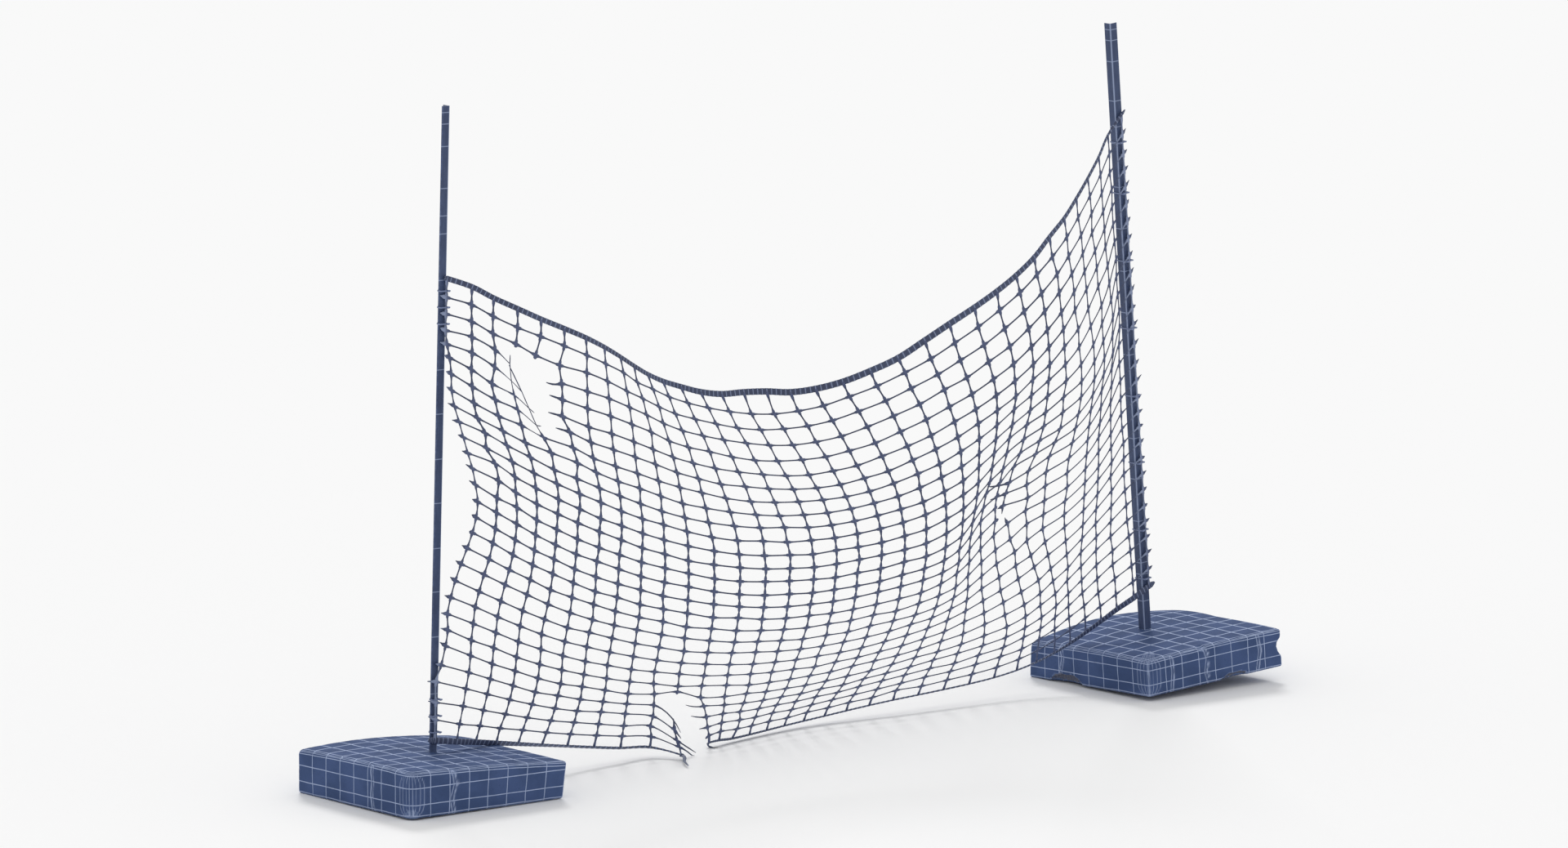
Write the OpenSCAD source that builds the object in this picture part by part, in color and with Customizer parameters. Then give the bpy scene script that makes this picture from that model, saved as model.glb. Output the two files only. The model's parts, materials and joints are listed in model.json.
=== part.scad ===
// A worn mesh net tied between two angle-iron posts, each standing in a square cast block.
// Millimetres, +Z up, +X from the left stand to the right one.
// The origin is the middle of the left block's underside, on the floor.

/* [Blocks] */
// Distance between the middles of the two blocks
stand_spacing = 1965; // [1200:5:3000]
// Side of each square block
block_side = 381; // [250:1:500]
// Height of a block where its post enters
block_height = 87; // [60:1:120]
// Radius of a block's upright corners
block_corner = 5; // [3:1:40]
// Bevel along a block's top edges
top_bevel = 7; // [2:0.5:15]
// Bevel along a block's bottom edges
bottom_bevel = 3; // [1:0.5:8]
// Radius of the shallow crown on a block's top
crown_radius = 6000; // [3000:100:12000]
// Turn of the left block about its middle, in degrees
left_turn = -4; // [-10:0.5:10]
// Slope of the left block's top, in degrees
left_top_slope = 2.6; // [0:0.1:5]
// Tilt of the right stand towards the net, in degrees
right_tilt = 4.7; // [0:0.1:8]

/* [Posts] */
// Height of a post above its block
post_height = 1307; // [800:1:1600]
// Outside width of the equal angle
angle_side = 19; // [15:1:40]
// Thickness of the angle's two flanges
angle_wall = 3; // [2:0.5:5]
// Fillet in the root of the angle
angle_root = 3; // [1:0.5:5]
// Depth of the angle-shaped socket in a block
socket_depth = 65; // [40:1:75]
// Gap between a post and its socket, all round
socket_gap = 0.35; // [0.2:0.05:1]
// Lean of the left post towards the net, in degrees
left_lean = 1.8; // [0:0.1:5]

/* [Net] */
// Columns of meshes drawn across the net
net_columns = 17; // [8:1:18]
// Rows of meshes drawn down the net
net_rows = 14; // [6:1:16]
// Width of a strand
strand_width = 4; // [3:0.1:8]
// Thickness of a strand
strand_depth = 3.6; // [2:0.1:6]
// Height of the ribbed band along the top and bottom edges
band_height = 13; // [8:0.5:25]
// Thickness of the band
band_depth = 4; // [2:0.5:8]
// Gap between the mesh and the bands
band_gap = 0.5; // [0.3:0.05:0.8]

/* [Ties] */
// Width of a cable tie's strap
tie_width = 2.5; // [2:0.5:5]
// Thickness of a cable tie's strap
tie_depth = 1.2; // [0.8:0.1:2]
// Gap between a tie and the post inside it
tie_gap = 0.7; // [0.4:0.1:2]
// Gap between a tie and the edge strand inside it
strand_gap = 0.5; // [0.3:0.05:1]

/* [Hidden] */
$fn = 48;
join = 0.01;
root_two = sqrt(2);
crown_steps = 8;
socket_floor = 0.3;
post_length = post_height + socket_depth - socket_floor;
half_angle = angle_side / 2;

// Feet of the posts on their blocks: the left one from its block's middle, the right likewise
left_post_foot = [-7, -9];
right_post_foot = [-4, 22];

// Corners of the net from each post's foot, in the post's own leaning directions
net_front = -15;
left_top = [6, net_front, 957];
left_bottom = [-2, net_front, 30];
right_top = [3, net_front, 1112];
right_bottom = [5, net_front, 97];

// Hand-placed route of the slack top edge: drift, belly and droop from a straight line
top_route = [
    [0, 0, 0], [20, -40, -170], [20, 50, -340], [50, 50, -430],
    [80, -40, -350], [70, -70, -200], [0, 0, 0],
];
// Hand-placed route of the bottom edge
bottom_route = [
    [0, 0, 0], [70, 50, -80], [90, 40, -128], [80, 80, -140],
    [110, 60, -140], [120, 40, -100], [0, 0, 0],
];
// Billow of the mesh between its edges: one, two and three waves across, and a skew wave
billow_one = [-120, -250, -20];
billow_two = [-10, -10, 0];
billow_three = [-30, 30, -20];
billow_skew = [10, -10, 0];
billow_power = 1.2;
// The left edge bows away from its post between these rows of the full mesh
loose_edge_bow = [20, -100, 40];
loose_edge_rows = [4, 24];
// Columns of the full mesh, and how far from a post the net stays flat against it
fine_columns = 34;
fine_rows = 28;
flat_columns = 0.35;
ease_columns = 1.2;
slope_step = 0.001;

// Torn-out meshes, as [column, row] of the drawn mesh
torn = [[2, 1], [2, 2], [5, 12], [5, 13], [12, 6]];
// Ends of the bands, in columns of the full mesh
top_band_ends = [-0.05, 34.25];
left_length_ends = [-0.3, 10.3];
right_length_ends = [11, 34.35];

// Rows of the full mesh at which the ties hold the edge strands
left_tie_rows = [0.6, 1.6, 2.6, 25.5, 26.5, 27.5];
right_tie_rows = [1.6, 4.6, 8.6, 12.6, 16.6, 20.6, 24.6, 27.5];
tie_head = [5, 3.4, 4];
tie_tail = [2.4, 1.2, 2.5];

// Broken places on the blocks, as [place, size, turn]
left_breaks = [
    [[-187, -187, 8], [16, 16, 15], [20, 35, 45]],
];
right_breaks = [
    [[-190, 72, 3], [18, 96, 13], [0, 30, 3]],
    [[50, -190, 1], [46, 16, 12], [25, 0, -2]],
    [[189, -189, 40], [13, 13, 16], [12, 10, 45]],
];

block_colour = [0.29, 0.36, 0.56];
post_colour = [0.24, 0.30, 0.43];
net_colour = [0.21, 0.27, 0.43];
tie_colour = [0.16, 0.19, 0.30];

// ---- places ----

function turned(p, angle) = [
    cos(angle) * p[0] + sin(angle) * p[2],
    p[1],
    cos(angle) * p[2] - sin(angle) * p[0],
];
function from_left_foot(p) =
    [left_post_foot[0], left_post_foot[1], block_height] + turned(p, left_lean);
function right_foot() = [block_side / 2 + right_post_foot[0], right_post_foot[1], block_height];
function right_hinge() = [stand_spacing - block_side / 2, 0, 0];
function from_right_foot(p) = right_hinge() + turned(right_foot() + p, -right_tilt);

module at_left_post() {
    translate([left_post_foot[0], left_post_foot[1], block_height])
        rotate([0, left_lean, 0])
            children();
}

module at_right_block() {
    translate(right_hinge())
        rotate([0, -right_tilt, 0])
            translate([block_side / 2, 0, 0])
                children();
}

module at_right_post() {
    at_right_block()
        translate([right_post_foot[0], right_post_foot[1], block_height])
            children();
}

// ---- blocks and posts ----

// An equal angle's outline with its heel at +X -Y, grown by a gap all round
module angle_outline(gap) {
    outer = half_angle + gap;
    inner = half_angle - angle_wall - gap;
    translate([-outer, -outer])
        square([2 * outer, angle_wall + 2 * gap]);
    translate([inner, -outer])
        square([angle_wall + 2 * gap, 2 * outer]);
    difference() {
        translate([inner - angle_root, -inner - join])
            square([angle_root + join, angle_root + join]);
        translate([inner - angle_root, -inner + angle_root])
            circle(r = angle_root);
    }
}

module post() {
    translate([0, 0, socket_floor - socket_depth])
        linear_extrude(height = post_length)
            angle_outline(0);
}

module socket() {
    translate([0, 0, -socket_depth])
        linear_extrude(height = socket_depth + block_height)
            angle_outline(socket_gap);
}

module block_outline() {
    inner = block_side - 2 * block_corner;
    square([inner, block_side], center = true);
    square([block_side, inner], center = true);
    for (x = [-1, 1], y = [-1, 1])
        translate([x * inner / 2, y * inner / 2])
            circle(r = block_corner);
}

module edge_bevels(size) {
    for (side = [0:90:270])
        rotate([0, 0, side])
            translate([0, -block_side / 2, 0])
                rotate([45, 0, 0])
                    cube([block_side * 1.3, size * root_two, size * root_two], center = true);
}

module broken(places) {
    for (b = places)
        translate(b[0])
            rotate(b[2])
                cube(b[1], center = true);
}

// A turned solid whose top is the shallow crown, wide enough to cover the block
module crowned_top() {
    reach = 0.8 * block_side;
    dome = [for (k = [crown_steps:-1:0]) let (r = reach * k / crown_steps)
        [r, sqrt(crown_radius * crown_radius - r * r) - crown_radius]];
    rotate_extrude($fn = 96)
        polygon(concat([[0, -2 * block_height], [reach, -2 * block_height]], dome));
}

// A cast block whose crowned top slopes down towards +X
module block(slope) {
    edge_drop = block_side * block_side / (8 * crown_radius);
    difference() {
        intersection() {
            linear_extrude(height = 2 * block_height)
                block_outline();
            translate([0, 0, block_height])
                rotate([0, slope, 0])
                    crowned_top();
        }
        translate([0, 0, block_height])
            rotate([0, slope, 0])
                translate([0, 0, -edge_drop])
                    edge_bevels(top_bevel);
        edge_bevels(bottom_bevel);
    }
}

module left_base() {
    color(block_colour)
        difference() {
            rotate([0, 0, left_turn])
                difference() {
                    block(left_top_slope);
                    broken(left_breaks);
                }
            at_left_post() socket();
        }
}

module right_base() {
    color(block_colour)
        difference() {
            at_right_block() block(0);
            at_right_post() mirror([1, 0, 0]) socket();
            at_right_block() broken(right_breaks);
        }
}

module left_post() {
    color(post_colour)
        at_left_post() post();
}

module right_post() {
    color(post_colour)
        at_right_post() mirror([1, 0, 0]) post();
}

// ---- the net's surface ----

function limited(x) = min(1, max(0, x));
function eased(x) = limited(x) * limited(x) * (3 - 2 * limited(x));

// A smooth curve through evenly spaced points
function curve_piece(a, b, c, d, f) =
    b + (c - a) * f / 2 + (2 * a - 5 * b + 4 * c - d) * f * f / 2
    + (3 * b - a - 3 * c + d) * f * f * f / 2;
function along(route, u) = let (
    last = len(route) - 1,
    k = max(0, min(last - 1, floor(u * last))),
    before = k > 0 ? route[k - 1] : 2 * route[0] - route[1],
    after = k < last - 1 ? route[k + 2] : 2 * route[last] - route[last - 1]
) curve_piece(before, route[k], route[k + 1], after, u * last - k);

function straight(u, v) =
    (1 - u) * ((1 - v) * from_left_foot(left_top) + v * from_left_foot(left_bottom))
    + u * ((1 - v) * from_right_foot(right_top) + v * from_right_foot(right_bottom));
function billow(u, v) = let (
    down = pow(max(0, sin(180 * limited(v))), billow_power)
) down * (sin(180 * u) * billow_one + sin(360 * u) * billow_two + sin(540 * u) * billow_three)
    + sin(180 * u) * sin(360 * v) * billow_skew;
function loose_edge(u, v) = let (
    first = loose_edge_rows[0],
    t = limited((v * fine_rows - first) / (loose_edge_rows[1] - first))
) pow(1 - u, 3) * pow(sin(180 * t), 2) * loose_edge_bow;
// The belly fades out where the net lies against a post
function near_post(u) =
    eased((min(u, 1 - u) * fine_columns - flat_columns) / ease_columns);
function sag(u, v) =
    (1 - v) * along(top_route, u) + v * along(bottom_route, u) + billow(u, v);
function net_point(u, v) = let (s = sag(u, v))
    straight(u, v) + [s[0], s[1] * near_post(u), s[2]] + loose_edge(u, v);

function unit(a) = a / norm(a);
function net_down(u, v) = unit(net_point(u, v + slope_step) - net_point(u, v - slope_step));
function net_along(u, v) = unit(net_point(u + slope_step, v) - net_point(u - slope_step, v));
function net_back(u, v) = unit(cross(net_along(u, v), net_down(u, v)));
// Square to the columns' direction within the surface: straight across a band
function net_square(u, v) = cross(net_back(u, v), net_along(u, v));

function two_triangles(q) = [[q[0], q[1], q[2]], [q[0], q[2], q[3]]];
function flat_list(lists) = [for (part = lists) for (item = part) item];

// ---- the mesh: a ring of faces round each opening ----

// A crossing of the drawn strands, moved clear of the band on the top and bottom edges
function crossing(i, j) = let (
    u = i / net_columns,
    v = j / net_rows,
    inwards = j == 0 ? 1 : j == net_rows ? -1 : 0
) net_point(u, v) + inwards * (band_height / 2 + band_gap) * net_square(u, v);
// A corner beside a crossing, on the front (0) or back (1) of the strands, which cross on a slant
function corner_point(i, j, sideways, downwards, layer) = let (
    u = i / net_columns,
    v = j / net_rows,
    half = strand_width / 2 / (net_down(u, v) * net_square(u, v))
) crossing(i, j) + sideways * half * net_along(u, v) + downwards * half * net_down(u, v)
    + (2 * layer - 1) * strand_depth / 2 * net_back(u, v);

grid_count = (net_columns + 1) * (net_rows + 1);
function grid_at(i, j, layer) = layer * grid_count + i * (net_rows + 1) + j;
function hole_at(i, j, corner, layer) =
    2 * grid_count + 8 * (i * net_rows + j) + 4 * layer + corner;
// Corners of a mesh in the order across, down and back
corner_steps = [[0, 0], [1, 0], [1, 1], [0, 1]];
neighbour_steps = [[0, -1], [1, 0], [0, 1], [-1, 0]];

function is_torn(i, j) = len([for (t = torn) if (t == [i, j]) t]) > 0;
function is_mesh(i, j) =
    i >= 0 && i < net_columns && j >= 0 && j < net_rows && !is_torn(i, j);

function edge_side(i) = i == 0 ? -1 : i == net_columns ? 1 : 0;
mesh_points = concat(
    [for (layer = [0, 1], i = [0:net_columns], j = [0:net_rows])
        corner_point(i, j, edge_side(i), 0, layer)],
    [for (i = [0:net_columns - 1], j = [0:net_rows - 1], layer = [0, 1], c = corner_steps)
        corner_point(i + c[0], j + c[1], 1 - 2 * c[0], 1 - 2 * c[1], layer)]
);

function mesh_side_quads(i, j, k) = let (
    a = corner_steps[k],
    b = corner_steps[(k + 1) % 4],
    out_a = [for (layer = [0, 1]) grid_at(i + a[0], j + a[1], layer)],
    out_b = [for (layer = [0, 1]) grid_at(i + b[0], j + b[1], layer)],
    in_a = [for (layer = [0, 1]) hole_at(i, j, k, layer)],
    in_b = [for (layer = [0, 1]) hole_at(i, j, (k + 1) % 4, layer)],
    next = neighbour_steps[k]
) concat(
    [[out_a[0], out_b[0], in_b[0], in_a[0]]],
    [[in_a[1], in_b[1], out_b[1], out_a[1]]],
    [[in_a[0], in_b[0], in_b[1], in_a[1]]],
    is_mesh(i + next[0], j + next[1]) ? [] : [[out_b[0], out_a[0], out_a[1], out_b[1]]]
);

mesh_faces = [
    for (i = [0:net_columns - 1], j = [0:net_rows - 1]) if (is_mesh(i, j))
        for (k = [0:3]) for (quad = mesh_side_quads(i, j, k))
            for (face = two_triangles(quad)) face
];

module net() {
    color(net_colour)
        polyhedron(points = mesh_points, faces = mesh_faces, convexity = 10);
}

// ---- the bands: a strip of four-cornered rings along an edge of the net ----

function band_ring(u, v) = let (
    middle = net_point(u, v),
    down = net_square(u, v) * band_height / 2,
    back = net_back(u, v) * band_depth / 2
) [middle - down - back, middle + down - back, middle + down + back, middle - down + back];

function strip_faces(count) = concat(
    [[0, 1, 2], [0, 2, 3]],
    [for (i = [0:count - 2], k = [0:3]) let (next = (k + 1) % 4)
        for (face = two_triangles([4 * i + k, 4 * i + 4 + k, 4 * i + 4 + next, 4 * i + next]))
            face],
    two_triangles([for (k = [3:-1:0]) 4 * (count - 1) + k])
);

// A band's rings stand at its ends and at every drawn column between them
function band_columns(ends) = concat(
    [ends[0]],
    [for (i = [0:net_columns]) let (c = i * fine_columns / net_columns)
        if (c > ends[0] && c < ends[1]) c],
    [ends[1]]
);

module band(ends, v) {
    rings = [for (c = band_columns(ends)) band_ring(c / fine_columns, v)];
    polyhedron(points = flat_list(rings), faces = strip_faces(len(rings)), convexity = 10);
}

module top_band() {
    color(net_colour)
        band(top_band_ends, 0);
}

module bottom_band_left() {
    color(net_colour)
        band(left_length_ends, 1);
}

module bottom_band_right() {
    color(net_colour)
        band(right_length_ends, 1);
}

// ---- the ties: a strap round a post and the net's edge strand ----

// The strap's outline for a heel at +X -Y, grown outwards by a thickness
module strap_outline(grow) {
    reach = half_angle + tie_gap + grow;
    front = strand_depth / 2 + strand_gap + grow - net_front;
    slant = angle_wall + grow;
    polygon([
        [-reach, -front], [reach, -front], [reach, reach],
        [reach - slant - tie_gap, reach], [-reach, slant + tie_gap - reach],
    ]);
}

module tie() {
    front = net_front - strand_depth / 2 - strand_gap - tie_depth;
    linear_extrude(height = tie_width, center = true)
        difference() {
            strap_outline(tie_depth);
            strap_outline(0);
        }
    translate([half_angle - tie_head[0], front - tie_head[1] + join, -tie_head[2] / 2])
        cube(tie_head);
    translate([half_angle - join, front - tie_head[1] / 2, -tie_tail[2] / 2])
        cube(tie_tail);
}

module left_tie(row) {
    color(tie_colour)
        at_left_post()
            translate([0, 0, left_top[2] + (left_bottom[2] - left_top[2]) * row / fine_rows])
                tie();
}

module right_tie(row) {
    color(tie_colour)
        at_right_post()
            translate([0, 0, right_top[2] + (right_bottom[2] - right_top[2]) * row / fine_rows])
                mirror([1, 0, 0])
                    tie();
}

// ---- the part ----

left_base();
right_base();
left_post();
right_post();
net();
top_band();
bottom_band_left();
bottom_band_right();
for (i = [1:len(left_tie_rows)])
    left_tie(left_tie_rows[i - 1]);
for (i = [1:len(right_tie_rows)])
    right_tie(right_tie_rows[i - 1]);
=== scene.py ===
"""Look of the worn mesh net on two weighted poles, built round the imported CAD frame.

The frame is in metres. Sizes here are in millimetres, as in the CAD, and are scaled once when
a mesh is made. +X runs from the left stand to the right one, and the origin is the middle of
the left block's underside.
"""

import json
import math

import bpy
import numpy as np
from mathutils import Matrix, Vector, noise

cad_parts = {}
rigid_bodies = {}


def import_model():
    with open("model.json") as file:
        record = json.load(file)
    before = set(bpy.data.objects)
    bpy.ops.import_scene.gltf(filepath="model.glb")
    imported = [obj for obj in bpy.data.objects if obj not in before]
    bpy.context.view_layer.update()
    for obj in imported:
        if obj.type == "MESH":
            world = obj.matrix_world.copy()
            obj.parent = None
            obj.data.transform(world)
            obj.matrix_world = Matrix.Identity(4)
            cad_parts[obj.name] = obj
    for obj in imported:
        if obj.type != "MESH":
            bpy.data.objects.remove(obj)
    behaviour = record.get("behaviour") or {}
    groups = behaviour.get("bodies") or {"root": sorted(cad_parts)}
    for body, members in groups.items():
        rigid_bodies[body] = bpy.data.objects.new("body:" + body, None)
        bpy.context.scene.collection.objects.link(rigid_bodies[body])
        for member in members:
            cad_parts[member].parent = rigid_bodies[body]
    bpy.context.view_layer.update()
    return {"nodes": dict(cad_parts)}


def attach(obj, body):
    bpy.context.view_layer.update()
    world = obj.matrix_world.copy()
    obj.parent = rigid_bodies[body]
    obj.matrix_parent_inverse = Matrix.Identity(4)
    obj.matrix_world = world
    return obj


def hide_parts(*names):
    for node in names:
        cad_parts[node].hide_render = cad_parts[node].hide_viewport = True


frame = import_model()
MM = 0.001
TINY = 1e-9

# ---- sizes shared with the CAD, in millimetres ----

STAND_SPACING = 1965
BLOCK_SIDE = 381
HALF_SIDE = BLOCK_SIDE / 2
BLOCK_HEIGHT = 87
BLOCK_CORNER = 5
TOP_ROUND = 12
BOTTOM_ROUND = 5
FLOOR_CLEARANCE = 0.6
CROWN_RADIUS = 6000
LEFT_TOP_SLOPE = 2.6
LEFT_TURN = -2.3
RIGHT_TILT = 4.7
LEFT_LEAN = 1.8
POST_HEIGHT = 1307
SOCKET_DEPTH = 65
SOCKET_GAP = 0.35
SOCKET_FLOOR = 0.3
ANGLE_SIDE = 19
ANGLE_WALL = 3
ANGLE_ROOT = 3
LEFT_POST_FOOT = (-7, -9)
RIGHT_POST_FOOT = (-4, 22)

COLUMNS = 34
ROWS = 28
NET_FRONT = -15
LEFT_TOP = (6, NET_FRONT, 957)
LEFT_BOTTOM = (-2, NET_FRONT, 30)
RIGHT_TOP = (3, NET_FRONT, 1112)
RIGHT_BOTTOM = (5, NET_FRONT, 97)
STRAND_DEPTH = 3.6
BAND_HEIGHT = 13
BAND_DEPTH = 4
LEFT_TIE_ROWS = (0.6, 1.6, 2.6, 25.5, 26.5, 27.5)
RIGHT_TIE_ROWS = (1.6, 4.6, 8.6, 12.6, 16.6, 20.6, 24.6, 27.5)
TIE_WIDTH = 2.5
TIE_DEPTH = 1.2
TIE_GAP = 0.7
STRAND_GAP = 0.5

# Routes of the slack edges: drift, belly and droop from a straight line
TOP_ROUTE = np.array([
    (0, 0, 0), (20, -40, -170), (20, 50, -340), (50, 50, -430),
    (80, -40, -350), (70, -70, -200), (0, 0, 0)], float)
BOTTOM_ROUTE = np.array([
    (0, 0, 0), (70, 50, -80), (90, 40, -128), (80, 80, -140),
    (110, 60, -140), (120, 40, -100), (0, 0, 0)], float)
BILLOWS = np.array([(-120, -250, -20), (-10, -10, 0), (-30, 30, -20)], float)
BILLOW_SKEW = np.array((10, -10, 0), float)
BILLOW_POWER = 1.2
LOOSE_EDGE_BOW = np.array((20, -100, 40), float)
LOOSE_EDGE_ROWS = (4, 24)
# The net leaves a post's plane beyond these columns from its edge, over these more
FLAT_COLUMNS = 0.35
EASE_COLUMNS = 1.2

# ---- places ----


def rotation_y(degrees):
    """Turns +Z towards +X, as the CAD's rotate([0, degrees, 0]) does."""
    return Matrix.Rotation(math.radians(degrees), 4, "Y")


LEFT_BLOCK = Matrix.Rotation(math.radians(LEFT_TURN), 4, "Z")
RIGHT_BLOCK = (
    Matrix.Translation((STAND_SPACING - HALF_SIDE, 0, 0))
    @ rotation_y(-RIGHT_TILT)
    @ Matrix.Translation((HALF_SIDE, 0, 0))
)
LEFT_POST = Matrix.Translation((*LEFT_POST_FOOT, BLOCK_HEIGHT)) @ rotation_y(LEFT_LEAN)
RIGHT_POST = RIGHT_BLOCK @ Matrix.Translation((*RIGHT_POST_FOOT, BLOCK_HEIGHT))
MIRROR_X = Matrix.Scale(-1, 4, (1, 0, 0))


def moved(points, matrix):
    """Points in millimetres, taken through a place's matrix."""
    m = np.array(matrix)
    return np.asarray(points, float) @ m[:3, :3].T + m[:3, 3]


# ---- the net's surface ----


def eased(x):
    """0 to 1, with a soft start and end."""
    x = np.clip(x, 0, 1)
    return x * x * (3 - 2 * x)


def curve(points, k, f):
    """A fraction of the way from point k to the next, on a smooth curve through all the points."""
    before = points[k - 1] if k > 0 else 2 * points[0] - points[1]
    after = points[k + 2] if k < len(points) - 2 else 2 * points[-1] - points[-2]
    b, c = points[k], points[k + 1]
    return (
        b + (c - before) * f / 2
        + (2 * before - 5 * b + 4 * c - after) * f * f / 2
        + (3 * b - before - 3 * c + after) * f ** 3 / 2
    )


def along(route, u):
    """A fraction of the way along a route of evenly spaced points."""
    last = len(route) - 1
    k = int(max(0, min(last - 1, math.floor(u * last))))
    return curve(route, k, u * last - k)


CORNERS = (
    moved(LEFT_TOP, LEFT_POST), moved(LEFT_BOTTOM, LEFT_POST),
    moved(RIGHT_TOP, RIGHT_POST), moved(RIGHT_BOTTOM, RIGHT_POST),
)


def net_point(u, v):
    """The slack net's surface at a fraction across and a fraction down."""
    left_top, left_bottom, right_top, right_bottom = CORNERS
    straight = (1 - u) * ((1 - v) * left_top + v * left_bottom)
    straight = straight + u * ((1 - v) * right_top + v * right_bottom)
    down = max(0.0, math.sin(math.pi * min(1.0, max(0.0, v)))) ** BILLOW_POWER
    sag = (1 - v) * along(TOP_ROUTE, u) + v * along(BOTTOM_ROUTE, u)
    for k, billow in enumerate(BILLOWS):
        sag = sag + down * math.sin((k + 1) * math.pi * u) * billow
    sag = sag + math.sin(math.pi * u) * math.sin(2 * math.pi * v) * BILLOW_SKEW
    near_post = eased((min(u, 1 - u) * COLUMNS - FLAT_COLUMNS) / EASE_COLUMNS)
    first, last = LOOSE_EDGE_ROWS
    t = min(1.0, max(0.0, (v * ROWS - first) / (last - first)))
    bow = (1 - u) ** 3 * math.sin(math.pi * t) ** 2 * LOOSE_EDGE_BOW
    return straight + sag * (1, near_post, 1) + bow


def unit(a):
    """A vector at a length of 1."""
    return a / np.linalg.norm(a)


def unit_rows(a):
    """Each row's vector at a length of 1."""
    return a / np.linalg.norm(a, axis=1)[:, None]


def net_axes(u, v, step=0.001):
    """Directions along the columns' spacing, down the rows, and out of the net's back."""
    across = unit(net_point(u + step, v) - net_point(u - step, v))
    down = unit(net_point(u, v + step) - net_point(u, v - step))
    return across, down, unit(np.cross(across, down))


# ---- meshes ----


def placed(name, data):
    """A new object in the scene."""
    obj = bpy.data.objects.new(name, data)
    bpy.context.collection.objects.link(obj)
    return obj


class Shape:
    """Gathers vertices, faces and what each vertex wears, and makes one object of them."""

    def __init__(self):
        self.points, self.faces, self.places, self.wears, self.lines = [], [], [], [], []
        self.count = 0

    def add(self, points, faces, places=None, wear=None, line=None):
        """One closed form: its points, faces and, by the point, clean place, wear and pale lines."""
        points = np.asarray(points, float)
        self.points.append(points)
        self.places.append(points if places is None else np.asarray(places, float))
        self.wears.append(np.zeros(len(points)) if wear is None else np.asarray(wear, float))
        self.lines.append(np.zeros(len(points)) if line is None else np.asarray(line, float))
        self.faces += [tuple(int(k) + self.count for k in face) for face in faces]
        self.count += len(points)

    def finish(self, name, material, sharp_angle=None):
        """The object, with edges kept sharp beyond an angle in degrees."""
        mesh = bpy.data.meshes.new(name)
        mesh.from_pydata((np.vstack(self.points) * MM).tolist(), [], self.faces)
        mesh.shade_smooth()
        place = mesh.attributes.new("place", "FLOAT_VECTOR", "POINT")
        place.data.foreach_set("vector", (np.vstack(self.places) * MM).ravel())
        for layer, values in (("wear", self.wears), ("line", self.lines)):
            attribute = mesh.attributes.new(layer, "FLOAT", "POINT")
            attribute.data.foreach_set("value", np.concatenate(values))
        if sharp_angle is not None:
            mesh.set_sharp_from_angle(angle=math.radians(sharp_angle))
        mesh.materials.append(material)
        mesh.update()
        return placed(name, mesh)


def ring_faces(rings, sides, closed=False):
    """Quads between rings of points that follow each other, and a cap at each open end."""
    faces = []
    for i in range(rings if closed else rings - 1):
        a, b = i * sides, ((i + 1) % rings) * sides
        for k in range(sides):
            n = (k + 1) % sides
            faces.append((a + k, a + n, b + n, b + k))
    if not closed:
        faces.append(tuple(range(sides - 1, -1, -1)))
        faces.append(tuple(range((rings - 1) * sides, rings * sides)))
    return faces


def directions(path, backs):
    """Which way a path goes at each point, and sideways from it within the net's surface."""
    forward = unit_rows(np.gradient(path, axis=0))
    return forward, unit_rows(np.cross(forward, backs))


def sweep(path, backs, half_widths, half_depths, sides, power=1.0):
    """An oval tube along a path: wide within the net's surface, flatter out of it, off the floor."""
    forward, side = directions(path, backs)
    back = np.cross(side, forward)
    angles = 2 * np.pi * (np.arange(sides) + 0.5) / sides
    c = np.sign(np.cos(angles)) * np.abs(np.cos(angles)) ** power
    s = np.sign(np.sin(angles)) * np.abs(np.sin(angles)) ** power
    w = half_widths[:, None, None] * c[None, :, None] * side[:, None, :]
    d = half_depths[:, None, None] * s[None, :, None] * back[:, None, :]
    points = (path[:, None, :] + w + d).reshape(-1, 3)
    points[:, 2] = points[:, 2].clip(FLOOR_CLEARANCE)
    return points, ring_faces(len(path), sides)


# ---- materials ----


def linear(red, green, blue):
    """A colour as it is seen on a screen, 0 to 255, as Blender's linear values."""
    def one(c):
        c /= 255
        return c / 12.92 if c <= 0.04045 else ((c + 0.055) / 1.055) ** 2.4
    return (one(red), one(green), one(blue), 1.0)


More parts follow.
